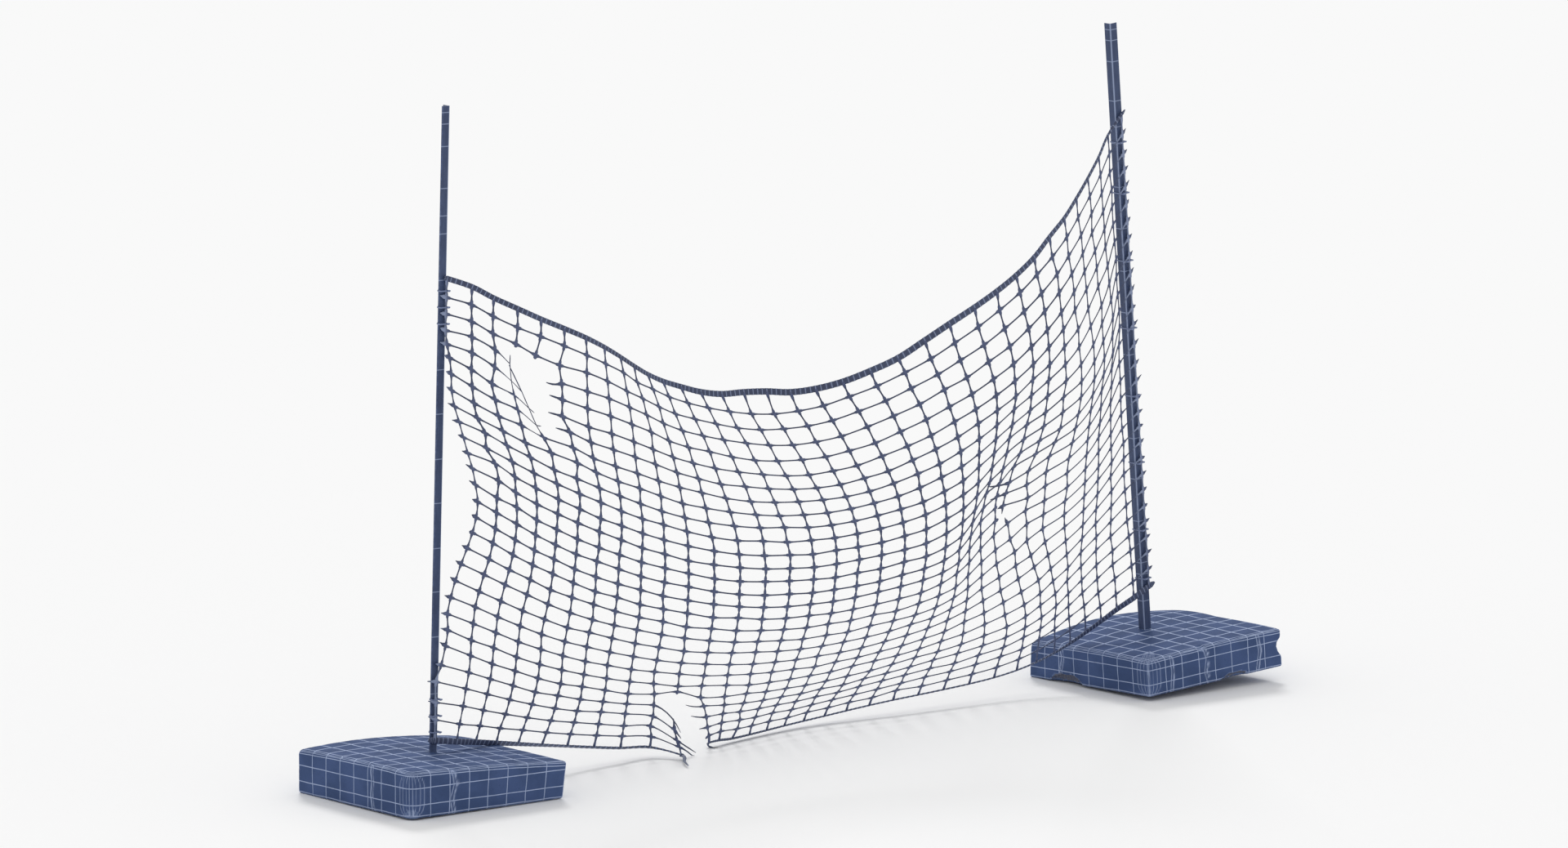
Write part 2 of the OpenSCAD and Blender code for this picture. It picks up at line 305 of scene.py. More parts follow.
class Nodes:
    """Short calls for building one material's node tree."""

    def __init__(self, name):
        self.material = bpy.data.materials.new(name)
        self.material.use_nodes = True
        self.tree = self.material.node_tree
        self.shader = self.tree.nodes["Principled BSDF"]

    def link(self, value, socket):
        """Puts a value or another node's output into a socket."""
        if isinstance(value, bpy.types.NodeSocket):
            self.tree.links.new(value, socket)
        else:
            socket.default_value = value

    def new(self, kind, inputs=None, **settings):
        """A node with its settings, and with a value or another node's output in its inputs."""
        node = self.tree.nodes.new(kind)
        for key, value in settings.items():
            setattr(node, key, value)
        for key, value in (inputs or {}).items():
            self.link(value, node.inputs[key])
        return node

    def attribute(self, name, output="Fac"):
        return self.new("ShaderNodeAttribute", attribute_name=name).outputs[output]

    def surface(self):
        """A point's place on the clean form, and how worn it is."""
        return self.attribute("place", "Vector"), self.attribute("wear")

    def noise(self, place, scale, detail=4.0, rough=0.55):
        inputs = {"Vector": place, "Scale": scale, "Detail": detail, "Roughness": rough}
        return self.new("ShaderNodeTexNoise", inputs).outputs["Fac"]

    def cells(self, place, scale):
        return self.new("ShaderNodeTexVoronoi", {"Vector": place, "Scale": scale}).outputs["Distance"]

    def maths(self, operation, a, b=0.0):
        return self.new("ShaderNodeMath", {0: a, 1: b}, operation=operation).outputs[0]

    def times(self, a, b):
        return self.maths("MULTIPLY", a, b)

    def plus(self, a, b):
        return self.maths("ADD", a, b)

    def larger(self, a, b):
        return self.maths("MAXIMUM", a, b)

    def stretch(self, value, low, high, to_low=0.0, to_high=1.0):
        """Takes low to to_low and high to to_high, smoothly."""
        inputs = {"Value": value, "From Min": low, "From Max": high, "To Min": to_low, "To Max": to_high}
        return self.new("ShaderNodeMapRange", inputs, interpolation_type="SMOOTHSTEP").outputs["Result"]

    def mix(self, share, a, b):
        inputs = {"Factor": share, "A": a, "B": b}
        return self.new("ShaderNodeMix", inputs, data_type="RGBA").outputs["Result"]

    def split(self, vector):
        return self.new("ShaderNodeSeparateXYZ", {0: vector}).outputs

    def bump(self, height, strength, distance):
        inputs = {"Strength": strength, "Distance": distance, "Height": height}
        return self.new("ShaderNodeBump", inputs).outputs["Normal"]

    def finish(self, colour, roughness, normal):
        """The material, with its look joined to the shader."""
        for key, value in (("Base Color", colour), ("Roughness", roughness), ("Normal", normal)):
            self.link(value, self.shader.inputs[key])
        return self.material


BLOCK_BLUE = linear(74, 92, 133)
BLOCK_DARK = linear(64, 81, 118)
BLOCK_WORN = linear(96, 114, 152)
BLOCK_BARE = linear(125, 122, 122)
LINE_PALE = linear(170, 184, 215)
POST_BLUE = linear(51, 68, 104)
POST_DARK = linear(43, 58, 92)
POST_WORN = linear(88, 104, 142)
NET_BLUE = linear(58, 68, 96)
NET_DARK = linear(48, 57, 85)
NET_WORN = linear(90, 101, 138)
TIE_BLUE = linear(92, 106, 143)
TIE_PALE = linear(126, 138, 170)

BLOCK_GRID = 47 * MM
SIDE_LAYERS = (4 * MM, 25 * MM, 57 * MM)
TOP_LINE = 1.8 * MM
SIDE_LINE = 0.8 * MM
RIM_LINE = 1.0 * MM
# A line is whole up to the first share of its half width, and gone beyond the second
LINE_EDGES = (0.6, 1.4)
RIM_LINES = (3 * MM, 8.5 * MM)


def cast_block_material():
    """Blue paint over rough cast concrete, with pores, pale worn edges and fine scored lines."""
    n = Nodes("cast_block")
    place, wear = n.surface()
    clouds = n.noise(place, 14, 5)
    grain = n.noise(place, 420, 6, 0.65)
    patches = n.noise(place, 55, 6, 0.6)
    colour = n.mix(n.stretch(clouds, 0.35, 0.68), BLOCK_DARK, BLOCK_BLUE)
    colour = n.mix(n.stretch(grain, 0.3, 0.8, 0.0, 0.35), colour, BLOCK_DARK)
    ragged = n.plus(wear, n.stretch(patches, 0.3, 0.7, -0.35, 0.35))
    worn = n.stretch(ragged, 0.42, 0.72)
    colour = n.mix(worn, colour, BLOCK_WORN)
    pores = n.stretch(n.cells(place, 130), 0.1, 0.22, 1.0, 0.0)
    pores = n.times(pores, n.stretch(n.noise(place, 40, 3), 0.5, 0.62))
    colour = n.mix(n.times(pores, 0.6), colour, BLOCK_DARK)
    # Scored lines, each drawn only on the faces that it crosses, and wider on the top
    warp = n.times(n.maths("SUBTRACT", n.noise(place, 12, 2), 0.5), 7 * MM)
    towards = n.split(n.new("ShaderNodeNewGeometry").outputs["Normal"])
    upwards = n.stretch(towards[2], 0.6, 0.9)

    def drawn(gap, top_line=TOP_LINE):
        sharp, soft = LINE_EDGES
        thin = n.stretch(gap, SIDE_LINE * sharp, SIDE_LINE * soft, 1.0, 0.0)
        wide = n.stretch(gap, top_line * sharp, top_line * soft, 1.0, 0.0)
        return n.larger(thin, n.times(wide, upwards))

    def drawn_at(distance, at):
        away = n.plus(n.maths("SUBTRACT", distance, at), n.times(warp, 0.4))
        return drawn(n.maths("ABSOLUTE", away), RIM_LINE)

    line = n.attribute("line")
    for at in RIM_LINES:
        line = n.larger(drawn_at(n.attribute("rim"), at), line)
    sideways = n.stretch(n.maths("ABSOLUTE", towards[2]), 0.55, 0.85, 1.0, 0.0)
    for at in SIDE_LAYERS:
        layer = n.times(drawn_at(n.split(place)[2], at), sideways)
        line = n.larger(layer, line)
    for axis in (0, 1):
        across = n.stretch(n.maths("ABSOLUTE", towards[axis]), 0.55, 0.85, 1.0, 0.0)
        grid = drawn(n.maths("PINGPONG", n.plus(n.split(place)[axis], warp), BLOCK_GRID / 2))
        line = n.larger(n.times(grid, across), line)
    bare = n.stretch(n.plus(wear, n.stretch(patches, 0.3, 0.7, -0.15, 0.15)), 1.45, 1.75)
    faded = n.times(line, n.stretch(patches, 0.25, 0.6, 0.7, 1.0))
    colour = n.mix(faded, colour, LINE_PALE)
    colour = n.mix(bare, colour, n.mix(n.stretch(grain, 0.3, 0.7), BLOCK_BARE, BLOCK_DARK))
    n.shader.inputs["Specular IOR Level"].default_value = 0.05
    height = n.plus(n.times(grain, 0.5), n.times(patches, 0.8))
    height = n.maths("SUBTRACT", height, n.times(pores, 0.9))
    return n.finish(colour, n.stretch(grain, 0.2, 0.8, 0.66, 0.86), n.bump(height, 0.6, 1.2 * MM))


def post_material():
    """Satin blue paint on rolled angle iron, scuffed pale along its edges, with pale rings and a painted
    highlight down the heel.
    """
    n = Nodes("post_paint")
    place, wear = n.surface()
    stretched = n.new("ShaderNodeMapping", {"Vector": place, "Scale": (1, 1, 0.12)})
    streaks = n.noise(stretched.outputs["Vector"], 260, 5, 0.6)
    clouds = n.noise(place, 9, 4)
    scuffs = n.noise(place, 90, 6, 0.7)
    colour = n.mix(n.stretch(clouds, 0.35, 0.65), POST_DARK, POST_BLUE)
    colour = n.mix(n.stretch(streaks, 0.45, 0.8, 0.0, 0.3), colour, POST_WORN)
    edge = n.times(wear, n.stretch(scuffs, 0.42, 0.62, 0.15, 0.85))
    colour = n.mix(edge, colour, POST_WORN)
    # Pale rings, and the painted highlight down the heel, from the line attribute
    colour = n.mix(n.times(n.attribute("line"), 0.7), colour, LINE_PALE)
    height = n.plus(streaks, n.times(scuffs, 0.6))
    return n.finish(colour, n.stretch(scuffs, 0.3, 0.7, 0.5, 0.68), n.bump(height, 0.35, 0.4 * MM))


def mesh_material():
    """Weathered extruded plastic: dull, mottled, paler on the swollen crossings and ribs."""
    n = Nodes("mesh_plastic")
    place, wear = n.surface()
    clouds = n.noise(place, 7, 4)
    dust = n.noise(place, 160, 5, 0.65)
    grain = n.noise(place, 900, 4, 0.6)
    colour = n.mix(n.stretch(clouds, 0.35, 0.65), NET_DARK, NET_BLUE)
    pale = n.times(wear, n.stretch(dust, 0.3, 0.62, 0.35, 1.0))
    colour = n.mix(n.times(pale, 0.7), colour, NET_WORN)
    colour = n.mix(n.stretch(dust, 0.55, 0.8, 0.0, 0.4), colour, NET_WORN)
    colour = n.mix(n.times(n.attribute("line"), 0.75), colour, LINE_PALE)
    height = n.plus(n.times(dust, 0.6), n.times(grain, 0.5))
    return n.finish(colour, n.stretch(grain, 0.3, 0.7, 0.5, 0.7), n.bump(height, 0.4, 0.3 * MM))


def tie_material():
    """Moulded nylon, slightly glossier than the mesh, with chalky rubbed corners."""
    n = Nodes("tie_plastic")
    place, wear = n.surface()
    clouds = n.noise(place, 220, 3)
    grain = n.noise(place, 1400, 4)
    colour = n.mix(n.stretch(clouds, 0.3, 0.7, 0.0, 0.6), TIE_BLUE, TIE_PALE)
    colour = n.mix(n.times(wear, 0.6), colour, TIE_PALE)
    return n.finish(colour, n.stretch(clouds, 0.3, 0.7, 0.34, 0.5), n.bump(grain, 0.25, 0.15 * MM))


BLOCK_LOOK = cast_block_material()
POST_LOOK = post_material()
MESH_LOOK = mesh_material()
TIE_LOOK = tie_material()

# ---- the mesh: strands between crossings, broken where the net is torn ----

STRAND_HALF_WIDTH = 1.53
STRAND_HALF_DEPTH = 1.1
STRAND_SIDES = 8
CROSSING_HALF_DEPTH = 1.9
OPENING_CORNER = 12.0
CROSSING_SHARE = 0.53
# Strands get thinner towards the right post, and wider from the floor upwards
THINNER_X = (1550, 1700)
THINNER = 0.8
WIDER_Z = (100, 750)
WIDER = (0.95, 1.1)
# A row's strand gets narrower where it isn't square to the columns, down to a least share
SHEAR_LEAST = 0.3
SHEAR_REACH = 0.5
LEAST_SHEARED = 0.8
HEM_REACH = 5.5
# The rows' cut ends beyond the edge strands, as shares of a mesh, and how far their tips stray
EDGE_STUB = 0.25
EDGE_STUB_LENGTHS = (0.8, 1.15)
EDGE_STUB_STRAY = 2.0
EDGE_STUB_STRAY_SHARES = (0.4, 0.4, 1)
# Where a strand's points are, from one crossing to the next: closer where it widens
ROW_STEPS = (0.0, 0.117, 0.15, 0.195, 0.28, 0.5, 0.72, 0.805, 0.85, 0.883)
COLUMN_STEPS = (0.0, 0.07, 0.09, 0.117, 0.167, 0.3, 0.5, 0.7, 0.833, 0.883, 0.91, 0.93)
JITTER = 0.8
# Rubbed pale near a post: how far from its line, and how far beyond that line along X
RUBBED = (16, 24)
RUBBED_SIDE = (2, 7)
RUBBED_PALE = 0.65

# How far the meshes slide within the net's surface, sideways and upwards, at even steps across
# each row, from the top row to the bottom one
DRIFT = np.array([
    [(0, 0), (-18, 6), (-4, 6), (-10, 6), (-14, 6), (-14, 2), (-8, 12), (-18, 10), (0, 0)],
    [(10, 10), (-16, -2), (12, 2), (10, -10), (10, -12), (8, -8), (18, -4), (4, -2), (0, 0)],
    [(0, 0), (6, 2), (-2, 4), (4, -8), (4, -4), (-2, -6), (-14, 10), (28, -14), (0, 0)],
    [(6, -12), (-10, 2), (-16, 4), (-12, -10), (-12, -10), (-8, -10), (-52, 26), (10, -8), (0, 0)],
    [(4, 8), (8, 4), (2, 0), (-4, -10), (-2, -16), (0, -12), (-18, 6), (0, -2), (0, 0)],
    [(26, 18), (22, -2), (8, -6), (10, -14), (6, -18), (-2, -12), (26, -12), (-16, -2), (0, 0)],
    [(0, 0), (-34, 4), (-14, -6), (-6, -6), (-6, -6), (-20, 4), (0, -4), (-20, 0), (0, 0)],
], float)
# The left edge's ties hold it down to the first of these rows and from the second
HELD_ROWS = (3, 25)
LOOSE_EDGE_FROM = 7
LOOSE_EDGE_SHIFT = np.array((-12, 0, 3), float)

# How far the right edge sags between its ties, by row, and how much of it each column takes
EDGE_SAG_ROWS = (0, 2, 4, 8, 12, 14, 16, 18, 23, 26)
EDGE_SAG = (0, 10, 8, 12, 15, 26, 28, 16, 8, 0)
EDGE_SAG_SHARES = {34: 1.0, 33: 0.6, 32: 0.4, 31: 0.2}

# Crossings pulled out of place, sideways and upwards: runs down a column, each with its column and
# first row; then columns of the top row; then how far some of them also move along Y
PULLED = (
    (0, 0, [(0, 5)]), (0, 7, [(-6, 0), (-8, 0), (-7, 0), (-8, 0), (-8, 0), (-6, 2), (-4, 2)]),
    (0, 22, [(7, 0), (6, 2), (6, 9), (0, 20), (0, 11), (0, 9)]),
    (1, 0, [(8, 6), (8, 2), (8, 0), (9, 0), (8, 0), (6, 2), (7, -3)]), (1, 9, [(8, 0)]),
    (1, 11, [(10, 0), (10, 0)]),
    (2, 0, [(0, 4)]), (2, 3, [(6, 0), (5, 0)]),
    (3, 0, [(0, 2)]), (3, 3, [(-15, -2), (-9, -1), (-2, 3), (0, 5), (2, 5)]),
    (4, 2, [(-10, 2)]), (4, 4, [(-42, 3), (-25, 3), (-13, 0), (-4, 3), (2, 3)]),
    (5, 2, [(-9, 0), (-5, 0), (-1, 3), (0, 4), (10, 4), (10, 3), (10, 2)]),
    (9, 23, [(7, 1), (8, 0), (8, -2), (7, -1), (11, 0), (11, 0)]),
    (10, 23, [(2, 8)]), (10, 25, [(-2, -27), (2, -29), (-1, -18), (-22, -5)]),
    (11, 24, [(11, -1), (22, -5), (31, -7), (42, -7), (44, -1)]),
    (12, 24, [(5, 1), (9, 0), (11, 0), (13, 0), (15, 2)]),
    (13, 26, [(9, 0), (8, 0)]),
    (25, 11, [(-3, -5), (0, -6), (2, -7), (5, -5), (5, -1)]),
    (26, 12, [(-5, -1), (-7, -6), (-11, 1), (-18, 6), (-5, -1), (-5, -1)]),
    (27, 13, [(-7, -4), (-7, -4), (-5, 0), (-10, 3), (-11, 4), (-17, 1), (-7, 0), (-2, 0)]),
    (28, 12, [(-5, 0), (-9, 0), (-13, 0), (-15, 0), (-17, 0), (-20, 0), (-21, 0), (-17, 0),
              (-12, 0), (-8, 0), (-4, 0)]),
    (29, 13, [(-4, 0), (-7, 0), (-9, 0), (-10, 0), (-11, 0), (-12, 0), (-10, 0), (-7, 0),
              (-4, 0)]),
)
PULLED_TOP = {
    14: (0, 4), 15: (0, 13), 16: (0, 15), 17: (0, 8), 18: (0, 3), 22: (0, 6), 23: (0, 8),
    24: (4, 7), 25: (4, 4), 28: (-2, 4), 29: (0, 3), 30: (0, 2),
}
PULLED_FORWARD = {(10, 25): -6, (10, 26): -12, (10, 27): -30, (10, 28): -62}
# Crossings that are torn out
LOST = {(4, 3), (10, 24)}
FAR_AWAY = (0, 0, 1e4)
# Crossings that a tear drew out thin, and how much, within reach of them
DRAWN_OUT = ((3, 3), (3, 4), (4, 4), (4, 5), (4, 6))
DRAWN_SHARE = 0.5
DRAWN_REACH = (14, 36)
STUB_SHARE = 1.25
STUB_STEPS = (0.12, 0.25, 0.42, 0.6, 0.8, 1.0)
STUB_TIP = (0.4, 0.8)
# Broken links, by the crossing above or left of the break: how the end left on each side of it
# lies from its own crossing, and how much that end bends
BROKEN_DOWN = {
    (3, 2): (((0, 0, -7), None), ((1, 0, 18), None)),
    (4, 2): (((-2, 0, -8), None), None),
    (4, 3): (None, ((-33, 0, 58), None)),
    (10, 23): (((-2, 0, -5), None), None),
    (10, 24): (None, ((-3, 0, 24), None)),
    (26, 15): (((-3, 0, -17), None), ((-8, 0, 13), (6, 0, 0))),
}
BROKEN_ACROSS = {
    (3, 3): (None, None),
    (4, 3): (None, ((-40, 0, 6), (0, 0, 12))),
    (4, 4): (None, ((-34, 0, 13), None)),
    (4, 5): (((14, 0, -11), None), ((-37, 0, 12), None)),
    (4, 6): (((12, 0, -3), None), ((-36, 0, 12), None)),
    (9, 24): (((61, -12, -63), (-19, 0, -31)), None),
    (10, 24): (None, ((-48, 0, 8), (0, 0, 10))),
    (10, 25): (((14, -4, -19), None), ((-41, 0, 7), (0, 0, 6))),
    (10, 26): (((45, -6, -30), None), ((-22, 0, -1), None)),
    (10, 27): (((35, -6, -26), (0, 0, -10)), ((-10, 0, -5), None)),
    (25, 13): (((7, 0, 4), None), ((-61, 0, -2), (0, 0, 9))),
    (25, 14): (((5, 0, 3), None), ((-43, 0, -9), None)),
    (25, 15): (((9, 0, 3), None), ((-15, 0, -5), None)),
}

SEED = 21
random_numbers = np.random.default_rng(SEED)


def drift(u, v):
    """How far a crossing slides within the net's surface."""
    x, z = along(np.array([along(row, u) for row in DRIFT]), v)
    return np.array((x, 0, z))


def crossings():
    """The crossings' places, jittered and pulled, and the directions of the net's back and rows."""
    places = np.zeros((COLUMNS + 1, ROWS + 1, 3))
    backs = np.zeros_like(places)
    high_ties, low_ties = HELD_ROWS
    for i in range(COLUMNS + 1):
        for j in range(ROWS + 1):
            u, v = i / COLUMNS, j / ROWS
            across, down, back = net_axes(u, v)
            jitter = random_numbers.normal(0, JITTER, 3)
            if 0 < i < COLUMNS and 0 < j < ROWS:
                jitter = jitter[0] * across + jitter[1] * down + jitter[2] * back
            else:
                jitter = 0
            slide = drift(u, v)
            if i == 0:
                free = eased((j - high_ties) / 2) * eased((low_ties - j) / 2)
                slide = free * (slide + eased(j / LOOSE_EDGE_FROM - 1) * LOOSE_EDGE_SHIFT)
            places[i, j] = net_point(u, v) + slide + jitter
            backs[i, j] = back
    for column, first, pulls in PULLED:
        for row, (x, z) in enumerate(pulls, first):
            places[column, row] += (x, 0, z)
    for column, (x, z) in PULLED_TOP.items():
        places[column, 0] += (x, 0, z)
    for at, y in PULLED_FORWARD.items():
        places[at][1] += y
    for column, share in EDGE_SAG_SHARES.items():
        places[column, :, 2] -= share * np.interp(range(ROWS + 1), EDGE_SAG_ROWS, EDGE_SAG)
    downs = np.gradient(places, axis=1)
    downs /= np.linalg.norm(downs, axis=2)[:, :, None]
    return places, np.concatenate([backs, downs], axis=2)


CROSSINGS, TURNS = crossings()


def smooth_run(nodes, turns, steps):
    """A smooth path through crossings, finely spaced, and how the net lies at each point."""
    path, turned = [], []
    for k in range(len(nodes) - 1):
        path += [curve(nodes, k, f) for f in steps]
        turned += [(1 - f) * turns[k] + f * turns[k + 1] for f in steps]
    return np.array(path + [nodes[-1]]), np.array(turned + [turns[-1]])


def stub(start, reach, bend, turn):
    """Points of a broken strand's end beyond its last crossing."""
    reach = np.array(reach, float)
    bend = np.array(bend or (0, 0, 0), float)
    return [start + reach * t + bend * (t * t - t) for t in STUB_STEPS], [turn] * len(STUB_STEPS)


def half_width(away):
    """A strand's, by the distance from its nearest crossing: round corners in each opening."""
    outer = STRAND_HALF_WIDTH + OPENING_CORNER
    inside = np.clip(outer - away, 0, OPENING_CORNER * CROSSING_SHARE)
    return outer - np.sqrt(OPENING_CORNER ** 2 - inside ** 2)


def nearest(path, line):
    """Each point's distance from the nearest of some crossings, and a long way without any."""
    places = np.array([CROSSINGS[at] for at in line] or [FAR_AWAY], float)
    return np.linalg.norm(path[:, None, :] - places[None, :, :], axis=2).min(axis=1)


def rubbed(points):
    """Paler where the net rubs on a post."""
    amount = np.zeros(len(points))
    for place in (LEFT_POST, RIGHT_POST):
        local = moved(points, place.inverted())
        away = np.hypot(local[:, 0], local[:, 1] - NET_FRONT)
        amount += np.interp(away, RUBBED, (1, 0)) * np.interp(local[:, 0], RUBBED_SIDE, (1, 0))
    return amount


def sheared_share(side, downs):
    """How much narrower a strand is where the openings are pulled into steep diamonds."""
    facing = np.abs((side * downs).sum(axis=1))
    return np.clip((facing - SHEAR_LEAST) / SHEAR_REACH, LEAST_SHEARED, 1)


def strand_form(path, line, joins_hems):
    """A strand's half width at each point, and how much it swells towards a crossing, 0 to 1."""
    away = nearest(path, [at for at in line if at not in DRAWN_OUT])
    if joins_hems:
        hems = nearest(path, [at for at in line if at[1] in (0, ROWS)])
        away = np.minimum(away, (hems - HEM_REACH).clip(0))
    width = half_width(away)
    swell = (width - STRAND_HALF_WIDTH) / (half_width(0) - STRAND_HALF_WIDTH)
    width = width * np.interp(path[:, 0], THINNER_X, (1, THINNER))
    width = width * np.interp(path[:, 2], WIDER_Z, WIDER)
    return width * np.interp(nearest(path, DRAWN_OUT), DRAWN_REACH, (DRAWN_SHARE, 1)), swell


def strand(shape, line, steps, head=None, tail=None, sheared=False):
    """One strand through its crossings, with a broken end at either side."""
    path, turned = smooth_run([CROSSINGS[at] for at in line], [TURNS[at] for at in line], steps)
    if head is not None:
        points, ends = stub(path[0], *head, turned[0])
        path, turned = np.vstack([points[::-1], path]), np.vstack([ends, turned])
    if tail is not None:
        points, ends = stub(path[-1], *tail, turned[-1])
        path, turned = np.vstack([path, points]), np.vstack([turned, ends])
    if len(path) < 3:
        return
    backs, downs = turned[:, :3], turned[:, 3:]
    width, swell = strand_form(path, line, joins_hems=not sheared)
    depth = STRAND_HALF_DEPTH + (CROSSING_HALF_DEPTH - STRAND_HALF_DEPTH) * swell
    if sheared:
        _, side = directions(path, backs)
        width = width * sheared_share(side, downs)
    for broken, order in ((head, slice(None)), (tail, slice(None, None, -1))):
        if broken is not None:
            width[order][:len(STUB_STEPS)] *= STUB_SHARE
            width[order][:len(STUB_TIP)] *= STUB_TIP
            depth[order][:len(STUB_TIP)] *= STUB_TIP
    points, faces = sweep(path, backs, width, depth, STRAND_SIDES)
    shape.add(points, faces, wear=np.repeat(swell, STRAND_SIDES), line=rubbed(points) * RUBBED_PALE)


def runs(line, broken):
    """Splits a line of crossings where a link is broken or a crossing is lost."""
    pieces, current, head = [], [], None
    for k, at in enumerate(line):
        if at in LOST:
            current, head = [], None
        else:
            current.append(at)
        gap = broken.get(at)
        if gap is None and k < len(line) - 1:
            continue
        if current:
            pieces.append((current, head, gap[0] if gap else None))
        head = gap[1] if gap else None
        current = []
    return pieces


def edge_stub(at, inside):
    """Where a row's cut end stands beyond the edge strand."""
    outwards = CROSSINGS[at] - CROSSINGS[inside]
    stray = random_numbers.normal(0, EDGE_STUB_STRAY, 3) * EDGE_STUB_STRAY_SHARES
    return outwards * EDGE_STUB * random_numbers.uniform(*EDGE_STUB_LENGTHS) + stray, None


def mesh_panel():
    """All strands of the net, down and across."""
    shape = Shape()
    for i in range(COLUMNS + 1):
        line = [(i, j) for j in range(ROWS + 1)]
        for nodes, head, tail in runs(line, BROKEN_DOWN):
            strand(shape, nodes, ROW_STEPS, head, tail)
    for j in range(1, ROWS):
        line = [(i, j) for i in range(COLUMNS + 1)]
        for nodes, head, tail in runs(line, BROKEN_ACROSS):
            if nodes[0][0] == 0:
                head = edge_stub((0, j), (1, j))
            if nodes[-1][0] == COLUMNS:
                tail = edge_stub((COLUMNS, j), (COLUMNS - 1, j))
            strand(shape, nodes, COLUMN_STEPS, head, tail, sheared=True)
    return shape.finish("net_mesh", MESH_LOOK)


# ---- the ribbed bands along the net's top and bottom edges ----

RIBS_PER_COLUMN = 5
# Where a rib's points are, from one rib to the next, and how high it stands at each
RIB_STEPS = (0.0, 0.12, 0.5, 0.88)
RIB_PROFILE = (1.0, 0.8, 0.0, 0.8)
RIB_SHARE = 0.3
RIB_WIDER = 0.06
RIB_WEAR = 0.4
CREST_PALE = 0.8
BAND_ROUND = 0.55
BAND_SIDES = 12
LEFT_TWIST = math.radians(58)
RIGHT_TWIST = math.radians(61)
TWIST_REACH = 420
# How narrow a band gets at a cut end and at a torn one
POINTED = 0.3
TORN_POINTED = 0.16
CUT_REACH = 9
TAPER_POWER = 0.8
# Each band's first and last column, with its cut ends beyond the edge strands
TOP_SPAN = (-0.05, COLUMNS + 0.25)
LEFT_SPAN = (-0.3, 10)
RIGHT_SPAN = (11, COLUMNS + 0.35)
# The top band's seen height by the column, as shares of the whole height
TOP_COLUMNS = (0, 5, 8, 10, 13, 16, 23, 27, 30, 33)
TOP_SHARES = (0.9, 0.88, 0.72, 0.78, 1.0, 1.08, 1.1, 0.95, 0.7, 0.5)
# The torn ends' steps beyond their last crossing
LEFT_TORN_END = ((-28, -44, -3), (-20, -36, -1))
RIGHT_TORN_END = ((-2, 0, -6), (6, -6, -4), (8, -8, -3))


def band_route(row, first, last, start_path, end_path):
    """Places and turns of a row's crossings, from one column to another and on to any torn end."""
    inner = [i for i in range(COLUMNS + 1) if first <= i <= last]
    nodes = [CROSSINGS[i, row] for i in inner]
    turns = [TURNS[i, row] for i in inner]
    before, after = list(start_path), list(end_path)
    if first < inner[0]:
        before.insert(0, (nodes[0] - nodes[1]) * (inner[0] - first))
    if last > inner[-1]:
        after.insert(0, (nodes[-1] - nodes[-2]) * (last - inner[-1]))
    for step in before:
        nodes.insert(0, nodes[0] + step)
        turns.insert(0, turns[0])
    for step in after:
        nodes.append(nodes[-1] + step)
        turns.append(turns[-1])
    return nodes, turns


def band(row, span, start_path=(), end_path=(), twist=0.0):
    """A ribbed strip through a row's crossings, twisted away from its post."""
    nodes, turns = band_route(row, *span, start_path, end_path)
    steps = [(rib + step) / RIBS_PER_COLUMN for rib in range(RIBS_PER_COLUMN) for step in RIB_STEPS]
    path, turned = smooth_run(nodes, turns, steps)
    backs, downs = turned[:, :3], turned[:, 3:]
    crest = np.zeros(len(path))
    crest[::len(RIB_STEPS)] = 1
    rib = np.resize(RIB_PROFILE, len(path))
    length = np.concatenate([[0], np.cumsum(np.linalg.norm(np.diff(path, axis=0), axis=1))])
    _, side = directions(path, backs)
    if row == 0:
        share = np.interp(path[:, 0], [CROSSINGS[i, 0][0] for i in TOP_COLUMNS], TOP_SHARES)
    else:
        share = sheared_share(side, downs)
    from_post = length[-1] - length if len(start_path) else length
    turn = twist * eased(from_post / TWIST_REACH)
    backs = backs * np.cos(turn)[:, None] + side * np.sin(turn)[:, None]
    width = BAND_HEIGHT / 2 * (1 - RIB_WIDER + RIB_WIDER * rib) * share
    depth = BAND_DEPTH / 2 * (1 - RIB_SHARE + RIB_SHARE * rib)
    taper = np.ones(len(path))
    for torn, from_end in ((start_path, length), (end_path, length[-1] - length)):
        reach = sum(float(np.linalg.norm(step)) for step in torn) or CUT_REACH
        least = TORN_POINTED if len(torn) else POINTED
        taper *= least + (1 - least) * np.clip(from_end / reach, 0, 1) ** TAPER_POWER
    points, faces = sweep(path, backs, width * taper, depth * (1 + taper) / 2, BAND_SIDES, BAND_ROUND)
    shape = Shape()
    shape.add(points, faces, wear=np.repeat(RIB_WEAR * rib, BAND_SIDES),
              line=np.repeat(CREST_PALE * crest, BAND_SIDES))
    return shape


def bands():
    """The whole top band, and the bottom one's two lengths, each with an end torn off."""
    top = band(0, TOP_SPAN)
    left = band(ROWS, LEFT_SPAN, end_path=LEFT_TORN_END, twist=LEFT_TWIST)
    right = band(ROWS, RIGHT_SPAN, start_path=RIGHT_TORN_END, twist=RIGHT_TWIST)
    return (top.finish("net_top_band", MESH_LOOK), left.finish("net_bottom_band_left", MESH_LOOK),
            right.finish("net_bottom_band_right", MESH_LOOK))


# ---- the blocks ----

BLOCK_LINES = 84
BLOCK_LEVELS = 22
FINE_STEPS = (-9, -6, -3.5, -1.5, 0, 1.5, 3.5, 6, 9)

